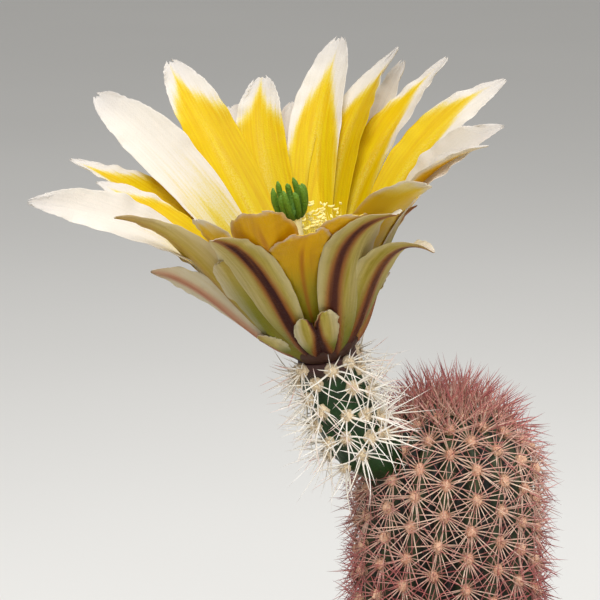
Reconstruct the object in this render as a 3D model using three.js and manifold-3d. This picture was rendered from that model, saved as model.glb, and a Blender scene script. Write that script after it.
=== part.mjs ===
// Potted Texas rainbow cactus in flower: one short ribbed stem under a coat of spines,
// with a single large yellow flower on its spiny tube, in a plain clay pot.
// Millimetres, +Z up, origin at the middle of the pot's underside. The viewer stands at -Y.
import * as THREE from 'three';
import { mergeVertices } from 'three/addons/utils/BufferGeometryUtils.js';
import Module from 'manifold-3d';

const wasm = await Module();
wasm.setup();
const { Manifold } = wasm;

const DEG = Math.PI / 180;
const GAP = 0.3;                    // air left between two nodes that rest on each other

// Pot and soil
const POT_HEIGHT = 88;
const POT_BASE_RADIUS = 36;
const POT_RIM_RADIUS = 52;
const POT_WALL = 5;
const POT_FLOOR = 8;
const RIM_BAND = 20;                // height of the thick band below the rim
const RIM_STEP = 3;                 // how far the band stands out from the side
const DRAIN_RADIUS = 4;
const DRAIN_RING = 18;
const SOIL_TOP = 80;

// Stem
const STEM_FOOT = 64;               // buried lower end
const DOME_START = 140;
const DOME_HEIGHT = 18;
const STEM_RADIUS = 21;
const STEM_SPREAD = 1.5;            // the stem is this much wider at the soil
const RIBS = 18;
const RIB_DEPTH = 2.6;
const AREOLE_SPACING = 7.35;
const SPINE_LENGTH = 11.5;

// Flower: where its tube ends, which way it looks, and which side of it faces the viewer
const FLOWER_SEAT = new THREE.Vector3(-30.5, -20, 176);
const FLOWER_AXIS = new THREE.Vector3(-0.209, -0.179, 0.9615).normalize();
const FLOWER_FRONT = new THREE.Vector3(0, -0.978, 0.208);
const OVARY_ROOT = new THREE.Vector3(-15.4, -11, 148.6);
const OVARY_LEAVES = new THREE.Vector3(-0.81, -0.58, 0.1);
const OVARY_ROOT_RADIUS = 6.2;
const OVARY_BELLY_RADIUS = 7.7;
const OVARY_NECK_RADIUS = 6.8;
const BRISTLE_LENGTH = 13.5;
const TEPAL_THICKNESS = 0.7;
const STYLE_HEIGHT = 36;
const STYLE_RADIUS = 1.2;
const STIGMA_LOBES = 10;
const STIGMA_HEIGHT = 9;
const STIGMA_RADIUS = 4.3;
const STAMENS = 26;

// Small seeded random numbers, so that every build gives the same plant.
function seededRandom(seed) {
  let state = seed;
  return (low = 0, high = 1) => {
    state = (state * 1664525 + 1013904223) % 4294967296;
    return low + (high - low) * (state / 4294967296);
  };
}

// A closed geometry becomes a solid that can be joined and cut.
function solidOf(geometry) {
  const bare = geometry.clone();
  bare.deleteAttribute('normal');
  bare.deleteAttribute('uv');
  const merged = mergeVertices(bare, 1e-5);
  return new Manifold(new wasm.Mesh({
    numProp: 3,
    vertProperties: new Float32Array(merged.attributes.position.array),
    triVerts: new Uint32Array(merged.index.array),
  }));
}

// Corner points and faces written by the functions below become a solid.
function solidFromFaces(points, faces) {
  const flat = points.flatMap((point) => [point.x, point.y, point.z]);
  return new Manifold(new wasm.Mesh({
    numProp: 3,
    vertProperties: new Float32Array(flat),
    triVerts: new Uint32Array(faces.flat()),
  }));
}

// Keeps the one main body: loose scraps go, and sealed hollows are filled.
function mainBody(solid) {
  const bodies = solid.decompose();
  return bodies.reduce((best, body) => (body.volume() > best.volume() ? body : best));
}

function joined(solids) {
  return mainBody(Manifold.union(solids));
}

function meshOf(name, solid, look) {
  const data = solid.getMesh();
  const geometry = new THREE.BufferGeometry();
  geometry.setAttribute('position', new THREE.BufferAttribute(new Float32Array(data.vertProperties), 3));
  geometry.setIndex(new THREE.BufferAttribute(new Uint32Array(data.triVerts), 1));
  const mesh = new THREE.Mesh(geometry, new THREE.MeshStandardMaterial(look));
  mesh.name = name;
  return mesh;
}

// A turned shape about +Z from a list of [radius, height] corners, bottom to top on the outside.
function turned(corners, sides) {
  const geometry = new THREE.LatheGeometry(corners.map(([r, z]) => new THREE.Vector2(r, z)), sides);
  geometry.rotateX(Math.PI / 2);
  return solidOf(geometry);
}

// A skin of rings, closed at both ends by a middle point. Each ring runs counterclockwise
// seen from beyond its last ring.
function ringSkin(rings, firstMiddle, lastMiddle) {
  const sides = rings[0].length;
  const points = [...rings.flat(), firstMiddle, lastMiddle];
  const first = points.length - 2;
  const last = points.length - 1;
  const top = (rings.length - 1) * sides;
  const faces = [];
  for (let i = 0; i < sides; i += 1) {
    const j = (i + 1) % sides;
    for (let row = 0; row < rings.length - 1; row += 1) {
      const low = row * sides;
      const high = low + sides;
      faces.push([low + i, low + j, high + j], [low + i, high + j, high + i]);
    }
    faces.push([first, j, i], [last, top + i, top + j]);
  }
  return solidFromFaces(points, faces);
}

// Pot: a tapered clay wall and floor, a thick band at the rim and three drain holes
function potSolid() {
  const bandFoot = POT_HEIGHT - RIM_BAND;
  const slope = (POT_RIM_RADIUS - RIM_STEP - POT_BASE_RADIUS) / POT_HEIGHT;
  const wallAt = (z) => POT_BASE_RADIUS + slope * z;
  const wall = turned([
    [0, 0],
    [POT_BASE_RADIUS - 1, 0],
    [POT_BASE_RADIUS, 1],
    [wallAt(bandFoot), bandFoot],
    [wallAt(bandFoot) + RIM_STEP, bandFoot + 2],
    [POT_RIM_RADIUS, POT_HEIGHT - 1.5],
    [POT_RIM_RADIUS - 1.5, POT_HEIGHT],
    [POT_RIM_RADIUS - POT_WALL, POT_HEIGHT],
    [wallAt(POT_FLOOR) - POT_WALL, POT_FLOOR],
    [0, POT_FLOOR],
  ], 32);
  const drains = [0, 1, 2].map((i) => {
    const drain = new THREE.CylinderGeometry(DRAIN_RADIUS, DRAIN_RADIUS, 3 * POT_FLOOR, 8);
    drain.rotateX(Math.PI / 2);
    drain.translate(DRAIN_RING * Math.cos(i * 120 * DEG), DRAIN_RING * Math.sin(i * 120 * DEG), 0);
    return solidOf(drain);
  });
  return drains.reduce((pot, drain) => pot.subtract(drain), wall);
}

// Soil: fills the pot to below its rim, low mounds on top, with a plain hole for the stem
function soilSolid() {
  const inner = (z) => {
    const low = POT_BASE_RADIUS + (POT_RIM_RADIUS - RIM_STEP - POT_BASE_RADIUS) * (POT_FLOOR / POT_HEIGHT);
    const high = POT_RIM_RADIUS - POT_WALL;
    const share = (z - POT_FLOOR) / (POT_HEIGHT - POT_FLOOR);
    return low - POT_WALL + (high - low + POT_WALL) * share - 2 * GAP;
  };
  const sides = 24;
  const ring = (radius, height) => Array.from({ length: sides }, (_, i) => {
    const angle = (i / sides) * 2 * Math.PI;
    const mound = height < SOIL_TOP - 1 ? 0 : 0.5 * Math.sin(3 * angle + radius) + 0.4 * Math.cos(7 * angle);
    return new THREE.Vector3(radius * Math.cos(angle), radius * Math.sin(angle), height + mound);
  });
  const edge = SOIL_TOP - 1.2;
  const rings = [
    ring(inner(POT_FLOOR) - 1, POT_FLOOR + GAP),
    ring(inner(edge) - 1, edge),
    ring(inner(edge) * 0.85, SOIL_TOP),
    ring(inner(edge) * 0.66, SOIL_TOP + 0.6),
  ];
  const soil = ringSkin(rings, new THREE.Vector3(0, 0, POT_FLOOR + GAP), new THREE.Vector3(0, 0, SOIL_TOP));
  const hole = new THREE.CylinderGeometry(STEM_RADIUS + STEM_SPREAD + 1, STEM_RADIUS + STEM_SPREAD + 1, 40, 24);
  hole.rotateX(Math.PI / 2);
  hole.translate(0, 0, STEM_FOOT - GAP + 20);
  return soil.subtract(solidOf(hole));
}

// The stem's outline from the top of the dome down: distance along it gives radius, height
// and the tilt of its outward normal above the horizontal.
function stemOutline() {
  const outline = [{ s: 0, r: 0, z: DOME_START + DOME_HEIGHT, tilt: 90 * DEG }];
  for (let step = 1; step <= 60; step += 1) {
    const u = (90 - step * 1.5) * DEG;
    const point = { r: STEM_RADIUS * Math.cos(u), z: DOME_START + DOME_HEIGHT * Math.sin(u) };
    point.tilt = Math.atan2(Math.sin(u) / DOME_HEIGHT, Math.cos(u) / STEM_RADIUS);
    outline.push(point);
  }
  for (let z = DOME_START - 2; z >= SOIL_TOP; z -= 2) {
    const spread = STEM_SPREAD * ((DOME_START - z) / (DOME_START - SOIL_TOP));
    outline.push({ r: STEM_RADIUS + spread, z, tilt: 0 });
  }
  for (let i = 1; i < outline.length; i += 1) {
    const before = outline[i - 1];
    const here = outline[i];
    here.s = before.s + Math.hypot(here.r - before.r, here.z - before.z);
  }
  return outline;
}

const STEM_OUTLINE = stemOutline();

// Body of the stem: upright ribs that rise from the soil and run together on the dome
function stemBody(grow) {
  const rows = [[STEM_FOOT, 15, 0.4], [STEM_FOOT + 2, 20, 0.8], [STEM_FOOT + 6, 22.4, 1]];
  for (let z = 84; z < DOME_START; z += 14) {
    rows.push([z, STEM_RADIUS + STEM_SPREAD * ((DOME_START - z) / (DOME_START - SOIL_TOP)), 1]);
  }
  for (const u of [0, 20, 38, 56, 74]) {
    const z = DOME_START + DOME_HEIGHT * Math.sin(u * DEG);
    rows.push([z, STEM_RADIUS * Math.cos(u * DEG), Math.cos(u * DEG) ** 0.7]);
  }
  const rings = rows.map(([z, radius, depth], row) => Array.from({ length: 2 * RIBS }, (_, i) => {
    const angle = (i / (2 * RIBS)) * 2 * Math.PI;
    const r = radius + grow - (i % 2) * RIB_DEPTH * depth;
    const lift = row === 0 ? -grow : grow * Math.min(1, Math.max(0, (z - DOME_START) / DOME_HEIGHT));
    return new THREE.Vector3(r * Math.cos(angle), r * Math.sin(angle), z + lift);
  }));
  const foot = new THREE.Vector3(0, 0, STEM_FOOT - grow);
  const crown = new THREE.Vector3(0, 0, DOME_START + DOME_HEIGHT + grow);
  return ringSkin(rings, foot, crown);
}

// A tuft of spines from one areole: a low hub whose rim alternates between spine tips and the
// notches between them, on a three-sided neck sunk into the flesh. Angles start at the areole's
// right and turn counterclockwise as seen from outside.
function spineTuft(middle, normal, tips, hub) {
  const side = new THREE.Vector3(0, 0, 1).cross(normal);
  if (side.length() < 0.05) {
    side.set(1, 0, 0);
  }
  side.normalize();
  const along = normal.clone().cross(side).normalize();
  const at = (angle, radius, height) => middle.clone()
    .addScaledVector(side, radius * Math.cos(angle))
    .addScaledVector(along, radius * Math.sin(angle))
    .addScaledVector(normal, height);
  const rim = 2 * tips.length;
  const points = [at(0, 0, hub.height)];
  tips.forEach((tip, i) => {
    const next = i + 1 < tips.length ? tips[i + 1].angle : tips[0].angle + 2 * Math.PI;
    points.push(at(tip.angle, tip.length * Math.cos(tip.rise), tip.length * Math.sin(tip.rise)));
    points.push(at((tip.angle + next) / 2, hub.radius, hub.height * 0.5));
  });
  const neck = points.length;
  const foot = neck + 3;
  for (let i = 0; i < 3; i += 1) {
    points.push(at(tips[0].angle + i * 120 * DEG, hub.radius * 0.8, 0.05));
  }
  points.push(at(0, 0, -hub.sunk));
  const faces = [];
  const neckOf = (i) => Math.round(((i % rim) / rim) * 3) % 3;
  for (let i = 0; i < rim; i += 1) {
    const j = (i + 1) % rim;
    faces.push([0, 1 + i, 1 + j], [neck + neckOf(i), 1 + j, 1 + i]);
    if (neckOf(i) !== neckOf(j)) {
      faces.push([neck + neckOf(i), neck + neckOf(j), 1 + j]);
    }
  }
  for (let i = 0; i < 3; i += 1) {
    faces.push([foot, neck + ((i + 1) % 3), neck + i]);
  }
  return solidFromFaces(points, faces);
}

// Where the areoles of the stem sit: along every rib, staggered from rib to rib, thinned out
// where the ribs meet on the crown.
function stemAreoles() {
  const areoles = [];
  const total = STEM_OUTLINE[STEM_OUTLINE.length - 1].s;
  for (let s = 1.5; s < total - 5; s += AREOLE_SPACING / 2) {
    const row = Math.round((s - 1.5) / (AREOLE_SPACING / 2));
    const here = STEM_OUTLINE.find((point) => point.s >= s);
    for (let rib = row % 2; rib < RIBS; rib += 2) {
      const angle = (rib / RIBS) * 2 * Math.PI;
      const out = new THREE.Vector3(Math.cos(angle), Math.sin(angle), 0);
      const middle = out.clone().multiplyScalar(here.r).setZ(here.z);
      const normal = out.multiplyScalar(Math.cos(here.tilt)).setZ(Math.sin(here.tilt));
      if (areoles.every((other) => other.middle.distanceTo(middle) > 3.7)) {
        areoles.push({ middle, normal, s });
      }
    }
  }
  return areoles;
}

// Stem: the body with a tuft on every areole. Neighbouring spines of a tuft stand at different
// rises, so that they pass over the next tuft's spines. On the crown they stand up in a brush.
function stemSolid(keepClear) {
  const random = seededRandom(11);
  const rises = [24, 50, 36, 54, 30];
  const tufts = stemAreoles().map(({ middle, normal, s }) => {
    const crown = Math.max(0, 1 - s / 24);
    const low = middle.z < SOIL_TOP + 12;
    const tips = rises.map((rise, i) => ({
      angle: ((i + random(-0.08, 0.08)) / rises.length) * 2 * Math.PI,
      rise: DEG * Math.max(low ? 45 : 0, rise + 32 * crown + random(-3, 3)),
      length: SPINE_LENGTH * random(0.88, 1.08) * (low ? 0.8 : 1),
    }));
    return spineTuft(middle, normal, tips, { radius: 0.4, height: 0.7, sunk: 1.2 });
  });
  return mainBody(Manifold.union([stemBody(0), ...tufts]).subtract(keepClear));
}

// Line down the middle of the flower's tube, from the stem's flank up to the flower
const OVARY_LINE = new THREE.CubicBezierCurve3(
  OVARY_ROOT,
  OVARY_ROOT.clone().addScaledVector(OVARY_LEAVES, 9),
  FLOWER_SEAT.clone().addScaledVector(FLOWER_AXIS, -13),
  FLOWER_SEAT,
);

// Radius of the tube at a share of its length: narrow root, belly, neck
function ovaryRadius(share) {
  const belly = Math.sin(Math.PI * Math.min(1, share / 0.95));
  const ends = THREE.MathUtils.lerp(OVARY_ROOT_RADIUS, OVARY_NECK_RADIUS, share);
  return ends + (OVARY_BELLY_RADIUS - (OVARY_ROOT_RADIUS + OVARY_NECK_RADIUS) / 2) * belly;
}

// Place, outward direction and across direction on the tube's skin
function ovaryPlace(share, turn) {
  const middle = OVARY_LINE.getPointAt(share);
  const along = OVARY_LINE.getTangentAt(share);
  const front = FLOWER_FRONT.clone().addScaledVector(along, -FLOWER_FRONT.dot(along)).normalize();
  const right = along.clone().cross(front).normalize();
  const out = front.multiplyScalar(Math.cos(turn)).addScaledVector(right, Math.sin(turn));
  return { middle, along, out, skin: middle.clone().addScaledVector(out, ovaryRadius(share)) };
}

function ovaryBody(grow) {
  const sides = 14;
  const shares = [0, 0.15, 0.3, 0.45, 0.6, 0.75, 0.88, 1];
  const rings = shares.map((share) => Array.from({ length: sides }, (_, i) => {
    const place = ovaryPlace(share, (i / sides) * 2 * Math.PI);
    return place.skin.addScaledVector(place.out, grow);
  }));
  return ringSkin(rings, OVARY_LINE.getPointAt(0), FLOWER_SEAT.clone());
}

// Bristle tufts of the flower's tube, in staggered rings; thickened by grow, they are also
// the space that the stem's spines keep clear of.
function ovaryTufts(grow) {
  const random = seededRandom(5);
  const tufts = [];
  const rings = [0.32, 0.49, 0.66, 0.82, 0.94];
  const around = 5;
  const rises = [26, 52, 38, 56, 32];
  rings.forEach((share, ring) => {
    for (let k = 0; k < around; k += 1) {
      const turn = ((k + (ring % 2) / 2) / around) * 2 * Math.PI + 0.2;
      const place = ovaryPlace(share, turn);
      const tips = rises.map((rise, i) => ({
        angle: ((i + random(-0.1, 0.1)) / rises.length) * 2 * Math.PI,
        rise: (rise + random(-5, 5)) * DEG,
        length: BRISTLE_LENGTH * random(0.8, 1.1),
      }));
      const hub = { radius: 0.4 + grow, height: 0.7 + grow, sunk: 1.2 };
      tufts.push(spineTuft(place.skin, place.out, tips, hub));
    }
  });
  return tufts;
}

// Tepals. Each one is [azimuth from the front toward the right, opening from the flower's axis
// at its base, middle and tip, length, sideways sweep, width, twist], in degrees and mm.
const INNER_TEPALS = [
  [287, 30, 45, 68, 66.5, 3, 12.5, -75],
  [268, 27, 44, 62, 50, 0, 9, -30],
  [256, 26, 45, 66, 50, 5, 9, 0],
  [241, 27, 46, 58, 57, 4, 11, 0],
  [228, 29, 38, 57, 64, 0, 14, -30],
  [205, 28, 40, 51, 64.5, -2, 12.5, 0],
  [193, 28, 45, 54, 50.5, -3, 12, 0],
  [191, 29, 42, 46, 53, -11, 12.5, 0],
  [181, 28, 49, 61, 47, -10, 12, 0],
  [168, 28, 49, 43, 62.5, -11, 13, 0],
  [157, 27, 52, 57, 61, -13, 11, -35],
  [147, 27, 49, 62, 58.5, -10, 11, -10],
  [143, 27, 58, 54, 62.5, -11, 11, -10],
  [127, 25, 57, 73, 61.5, -14, 13, 30],
  [98, 27, 48, 64, 46, 0, 11, 0],
  [62, 27, 42, 84, 59, 0, 11, 52],
  [60, 28, 44, 88, 55, -2, 9, 38],
  [40, 24, 38, 76, 46, 4, 13, -38],
  [14, 22, 36, 59, 39, 9, 13, -15],
  [-5, 21, 32, 47, 34, 8, 14, 0],
  [-18.5, 22, 35, 44, 46.5, 6, 15, 0],
  [-45, 23, 25, 32, 38, 0, 10, 0],
];
const OUTER_TEPALS = [
  [-23, 52, 27, 59, 56.5, -4, 14, 12],
  [13, 52, 27.5, 80, 59, 15.5, 13, -12],
  [40, 52, 38, 115, 50, 2, 10, -25],
  [60, 53, 36, 78, 42, -3, 9, -30],
  [86, 53, 36, 70, 46, 0, 11, 0],
  [118, 53, 48, 78, 46, 0, 11, 0],
  [151, 53, 46, 74, 50, -6, 9, 0],
  [182, 53, 42, 72, 45, 0, 11, 0],
  [214, 53, 38, 68, 48, 0, 11, 0],
  [243, 53, 38, 70, 46, 0, 11, 0],
  [270, 53, 38, 68, 46, 0, 11, 0],
  [-67, 54, 34, 64, 47.5, 0, 9.5, 57],
  [-49, 51, 30, 78, 71, -8, 12, 30],
  [-45, 52.5, 26, 42, 43.5, 7, 10, 25],
];
// Short scales at the very base of the flower
const BASE_SCALES = [
  [1, 46, 20, 22, 11, 0, 6, 0],
  [-48, 60, 30, 30, 9, 0, 4.5, 30],
  [100, 52, 30, 30, 10, 0, 5, 0],
  [200, 52, 30, 30, 10, 0, 5, 0],
];
// Where each set springs from, how wide its bases are, and how far alternate tepals stand apart
const INNER_SPRINGS = { radius: 12.8, height: 14.6, baseShare: 0.36, widest: 0.62, stagger: 1.8 };
const OUTER_SPRINGS = { radius: 6.6, height: 1.3, baseShare: 0.26, widest: 0.6, stagger: 0.7 };

// Shares of its length at which a tepal and a scale have a row of points
const TEPAL_ROWS = [0, 0.22, 0.44, 0.64, 0.82, 0.94, 1];
const SCALE_ROWS = [0, 0.5, 0.84, 1];
const MIDLINE_STEPS = 50;
const TEPAL_CHANNEL = 0.25;         // rise of the edges above the midrib, as a share of half the width
const EDGE_WAVE = 0.35;

// Half width of a tepal at a share of its length: widens from its base, then rounds to a tip
function tepalHalfWidth(share, width, springs) {
  if (share < springs.widest) {
    const rising = Math.sin((share / springs.widest) * (Math.PI / 2)) ** 1.3;
    return (width / 2) * (springs.baseShare + (1 - springs.baseShare) * rising);
  }
  const past = (share - springs.widest) / (1 - springs.widest);
  return Math.max(0.35, (width / 2) * Math.sqrt(Math.max(0, 1 - past ** 2.2)));
}

// One tepal in the flower's own frame (+Z its axis, -Y its front): a bent, channelled blade
// with a slightly waved edge. grow makes it thicker for the space kept clear around it.
function tepalSolid(tepal, springs, grow, index) {
  const [azimuth, atBase, atMiddle, atTip, length, sweep, width, twist] = tepal;
  const shares = length < 20 ? SCALE_ROWS : TEPAL_ROWS;
  const half = TEPAL_THICKNESS / 2 + grow;
  let radius = springs.radius + (index % 2 ? springs.stagger : 0);
  let height = springs.height;
  const upper = [];
  const lower = [];
  for (let i = 0; i <= MIDLINE_STEPS; i += 1) {
    const share = i / MIDLINE_STEPS;
    const open = DEG * (atBase * 2 * (share - 0.5) * (share - 1)
      - atMiddle * 4 * share * (share - 1) + atTip * 2 * share * (share - 0.5));
    if (i > 0) {
      radius += Math.sin(open) * (length / MIDLINE_STEPS);
      height += Math.cos(open) * (length / MIDLINE_STEPS);
    }
    const row = shares.findIndex((place) => Math.round(place * MIDLINE_STEPS) === i);
    if (row >= 0) {
      const turn = (azimuth + sweep * share ** 2) * DEG;
      const out = new THREE.Vector3(Math.sin(turn), -Math.cos(turn), 0);
      const across = new THREE.Vector3(Math.cos(turn), Math.sin(turn), 0);
      const inward = out.clone().multiplyScalar(-Math.cos(open)).setZ(Math.sin(open));
      const roll = twist * DEG * share ** 1.2;
      const side = across.clone().multiplyScalar(Math.cos(roll)).addScaledVector(inward, Math.sin(roll));
      const face = across.multiplyScalar(-Math.sin(roll)).addScaledVector(inward, Math.cos(roll));
      const middle = out.multiplyScalar(radius).setZ(height);
      const wide = tepalHalfWidth(share, width, springs) + grow;
      const waved = row > 1 && row < shares.length - 1;
      [-1, 0, 1].forEach((edge) => {
        const wave = waved ? EDGE_WAVE * (row % 2 ? edge : -edge) : 0;
        const lift = TEPAL_CHANNEL * wide * edge * edge + wave;
        const point = middle.clone().addScaledVector(side, wide * edge).addScaledVector(face, lift);
        upper.push(point.clone().addScaledVector(face, half));
        lower.push(point.addScaledVector(face, -half));
      });
    }
  }
  return bladeSkin(upper, lower, shares.length - 1);
}

// Closes an upper and a lower sheet of (rows + 1) x 3 points, split alike, into one blade.
function bladeSkin(upper, lower, rows) {
  const under = upper.length;
  const faces = [];
  const quad = (a, b, c, d) => faces.push([a, c, b], [a, d, c]);
  for (let row = 0; row < rows; row += 1) {
    for (let column = 0; column < 2; column += 1) {
      const a = row * 3 + column;
      quad(a, a + 1, a + 4, a + 3);
      faces.push([under + a, under + a + 1, under + a + 4], [under + a, under + a + 4, under + a + 3]);
    }
    quad(row * 3, row * 3 + 3, under + row * 3 + 3, under + row * 3);
    quad(row * 3 + 2, under + row * 3 + 2, under + row * 3 + 5, row * 3 + 5);
  }
  const tip = rows * 3;
  for (let column = 0; column < 2; column += 1) {
    quad(column, under + column, under + column + 1, column + 1);
    quad(tip + column, tip + column + 1, under + tip + column + 1, under + tip + column);
  }
  return solidFromFaces([...upper, ...lower], faces);
}

// Outer tepals and scales on the collar that they grow from
function outerTepals(grow) {
  const collar = turned([
    [5.6 - grow, GAP],
    [7.2 + grow, GAP],
    [9.8 + grow, 3],
    [8.8 - grow, 3.5 + grow],
    [5.6 - grow, GAP],
  ], 20);
  const blades = [...OUTER_TEPALS, ...BASE_SCALES].map((tepal, i) => tepalSolid(tepal, OUTER_SPRINGS, grow, i));
  return joined([collar, ...blades]);
}

// Inner tepals on the throat that they grow from
function innerTepals(grow) {
  const throat = turned([
    [4.2, GAP],
    [5 + grow, GAP],
    [9.6 + grow, 6],
    [15.4 + grow, 16],
    [12.4, 16],
    [8.6, 6],
    [4.2, GAP],
  ], 20);
  return joined([throat, ...INNER_TEPALS.map((tepal, i) => tepalSolid(tepal, INNER_SPRINGS, grow, i))]);
}

// A slim rod through rings given as [middle, radius], pointed or blunt at its end
function rod(stations, sides) {
  const rings = stations.map(([middle, radius], i) => {
    const before = stations[Math.max(0, i - 1)][0];
    const after = stations[Math.min(stations.length - 1, i + 1)][0];
    const along = after.clone().sub(before).normalize();
    const across = new THREE.Vector3(0, 1, 0).cross(along).normalize();
    const other = along.clone().cross(across);
    return Array.from({ length: sides }, (_, k) => {
      const turn = (k / sides) * 2 * Math.PI;
      return middle.clone()
        .addScaledVector(across, radius * Math.cos(turn))
        .addScaledVector(other, radius * Math.sin(turn));
    });
  });
  return ringSkin(rings, stations[0][0].clone(), stations[stations.length - 1][0].clone());
}

// Stamens: slim filaments with a plump anther each, on a ring inside the throat
function stamensSolid() {
  const random = seededRandom(23);
  const ring = turned([[7.6, 7.6], [8.4, 7.6], [9, 9.2], [8.2, 9.2], [7.6, 7.6]], 16);
  const filaments = Array.from({ length: STAMENS }, (_, i) => {
    const turn = (i / STAMENS) * 2 * Math.PI;
    const reach = i % 2 ? random(10, 14) : random(6, 9.5);
    const top = random(27, 33) + (i % 2 ? 0 : 3);
    const at = (radius, height, drift) => new THREE.Vector3(
      radius * Math.cos(turn + drift),
      radius * Math.sin(turn + drift),
      height,
    );
    return rod([
      [at(8.4, 8.4, 0), 0.3],
      [at(THREE.MathUtils.lerp(8.4, reach, 0.95), top - 1.5, 0.06), 0.25],
      [at(reach, top, 0.08), 0.65],
    ], 3);
  });
  return joined([ring, ...filaments]);
}

// Style: a pale column that stands on the tube in the middle of the flower
function styleSolid() {
  return turned([
    [0, GAP],
    [STYLE_RADIUS * 1.2, GAP],
    [STYLE_RADIUS, 6],
    [STYLE_RADIUS, STYLE_HEIGHT - 4],
    [STYLE_RADIUS * 1.45, STYLE_HEIGHT],
    [0, STYLE_HEIGHT],
  ], 10);
}

// Stigma: finger lobes that rise from a small hub like a goblet
function stigmaSolid() {
  const foot = STYLE_HEIGHT + GAP;
  const hub = turned([
    [0, foot],
    [STYLE_RADIUS * 1.4, foot],
    [STYLE_RADIUS * 1.9, foot + 1.6],
    [0, foot + 2.4],
  ], 10);
  const lobes = Array.from({ length: STIGMA_LOBES }, (_, i) => {
    const turn = ((i + 0.3) / STIGMA_LOBES) * 2 * Math.PI;
    const tall = STIGMA_HEIGHT * (i % 3 ? 1 : 0.88);
    const at = (radius, height) => new THREE.Vector3(
      radius * Math.cos(turn),
      radius * Math.sin(turn),
      foot + height,
    );
    return rod([
      [at(0.9, 0.9), 0.75],
      [at(STIGMA_RADIUS * 0.8, 2.8), 0.85],
      [at(STIGMA_RADIUS * 0.9, tall), 0.5],
    ], 4);
  });
  return joined([hub, ...lobes]);
}

// The flower's own frame in the world: +X its right, -Y its front, +Z its axis
const flower = new THREE.Group();
const front = FLOWER_FRONT.clone().addScaledVector(FLOWER_AXIS, -FLOWER_FRONT.dot(FLOWER_AXIS)).normalize();
const flowerTurn = new THREE.Matrix4().makeBasis(
  FLOWER_AXIS.clone().cross(front),
  front.clone().negate(),
  FLOWER_AXIS,
);
flower.quaternion.setFromRotationMatrix(flowerTurn);
flower.position.copy(FLOWER_SEAT);
const flowerMatrix = new THREE.Matrix4().compose(flower.position, flower.quaternion, new THREE.Vector3(1, 1, 1));

function inWorld(solid) {
  return solid.transform(flowerMatrix.toArray());
}

const outer = outerTepals(0);
const inner = mainBody(innerTepals(0).subtract(outerTepals(GAP)));
const perianthSpace = inWorld(joined([outerTepals(GAP), innerTepals(GAP)]));
const stemSpace = stemBody(GAP);
const ovary = mainBody(Manifold.union([ovaryBody(0), ...ovaryTufts(0)])
  .subtract(stemSpace)
  .subtract(perianthSpace));
const ovarySpace = Manifold.union([ovaryBody(GAP), ...ovaryTufts(GAP)]).subtract(stemBody(GAP / 6));
const stem = stemSolid(ovarySpace);

flower.add(meshOf('inner_tepals', inner, { color: 0xf2d21f, roughness: 0.55, metalness: 0 }));
flower.add(meshOf('outer_tepals', outer, { color: 0xb9a84a, roughness: 0.6, metalness: 0 }));
flower.add(meshOf('stamens', stamensSolid(), { color: 0xf3e2a0, roughness: 0.6, metalness: 0 }));
flower.add(meshOf('style', styleSolid(), { color: 0xece4c0, roughness: 0.5, metalness: 0 }));
flower.add(meshOf('stigma', stigmaSolid(), { color: 0x3e6b1f, roughness: 0.5, metalness: 0 }));

const cactus = new THREE.Group();
cactus.add(meshOf('pot', potSolid(), { color: 0xb5623c, roughness: 0.85, metalness: 0 }));
cactus.add(meshOf('soil', soilSolid(), { color: 0x54443a, roughness: 0.95, metalness: 0 }));
cactus.add(meshOf('stem', stem, { color: 0xc79a86, roughness: 0.7, metalness: 0 }));
cactus.add(meshOf('ovary', ovary, { color: 0x5c6a3a, roughness: 0.65, metalness: 0 }));
cactus.add(flower);

export default cactus;
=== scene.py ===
import math

import bpy
import numpy as np
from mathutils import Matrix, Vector


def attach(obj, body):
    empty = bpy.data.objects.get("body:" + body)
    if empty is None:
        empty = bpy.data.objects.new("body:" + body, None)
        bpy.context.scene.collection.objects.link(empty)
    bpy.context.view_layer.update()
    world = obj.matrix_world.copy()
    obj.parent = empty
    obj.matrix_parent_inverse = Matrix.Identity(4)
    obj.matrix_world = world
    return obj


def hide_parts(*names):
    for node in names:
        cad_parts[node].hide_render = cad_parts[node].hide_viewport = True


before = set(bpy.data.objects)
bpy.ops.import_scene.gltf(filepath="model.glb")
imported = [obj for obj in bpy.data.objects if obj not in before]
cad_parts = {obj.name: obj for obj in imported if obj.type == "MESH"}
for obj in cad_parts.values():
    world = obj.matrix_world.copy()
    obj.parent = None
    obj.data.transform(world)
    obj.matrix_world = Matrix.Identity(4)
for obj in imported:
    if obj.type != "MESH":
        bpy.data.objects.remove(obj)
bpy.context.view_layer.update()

mm = 0.001
deg = math.pi / 180


# Camera
# The photograph looks along +Y and a little down on the flower, so the stem leaves the frame below
camera = {"target": (-36.5, -10.0, 186.6), "distance": 700.0, "elevation": 12.0, "frameWidth": 144.0}
towardViewer = np.array([0, -math.cos(camera["elevation"] * deg), math.sin(camera["elevation"] * deg)])


def makeCamera():
    # lens = sensor * distance / width of the frame at the target
    data = bpy.data.cameras.new("photoCamera")
    data.sensor_width = 36
    data.sensor_height = 36
    data.lens = 36 * camera["distance"] / camera["frameWidth"]
    data.clip_start = 0.01
    data.clip_end = 50
    holder = bpy.data.objects.new("photoCamera", data)
    bpy.context.collection.objects.link(holder)
    target = Vector(camera["target"]) * mm
    holder.location = target + Vector(towardViewer) * camera["distance"] * mm
    holder.rotation_euler = (target - holder.location).to_track_quat("-Z", "Y").to_euler()
    bpy.context.scene.camera = holder
    bpy.context.scene.view_settings.view_transform = "Standard"


makeCamera()
print("camera placed")


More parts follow.
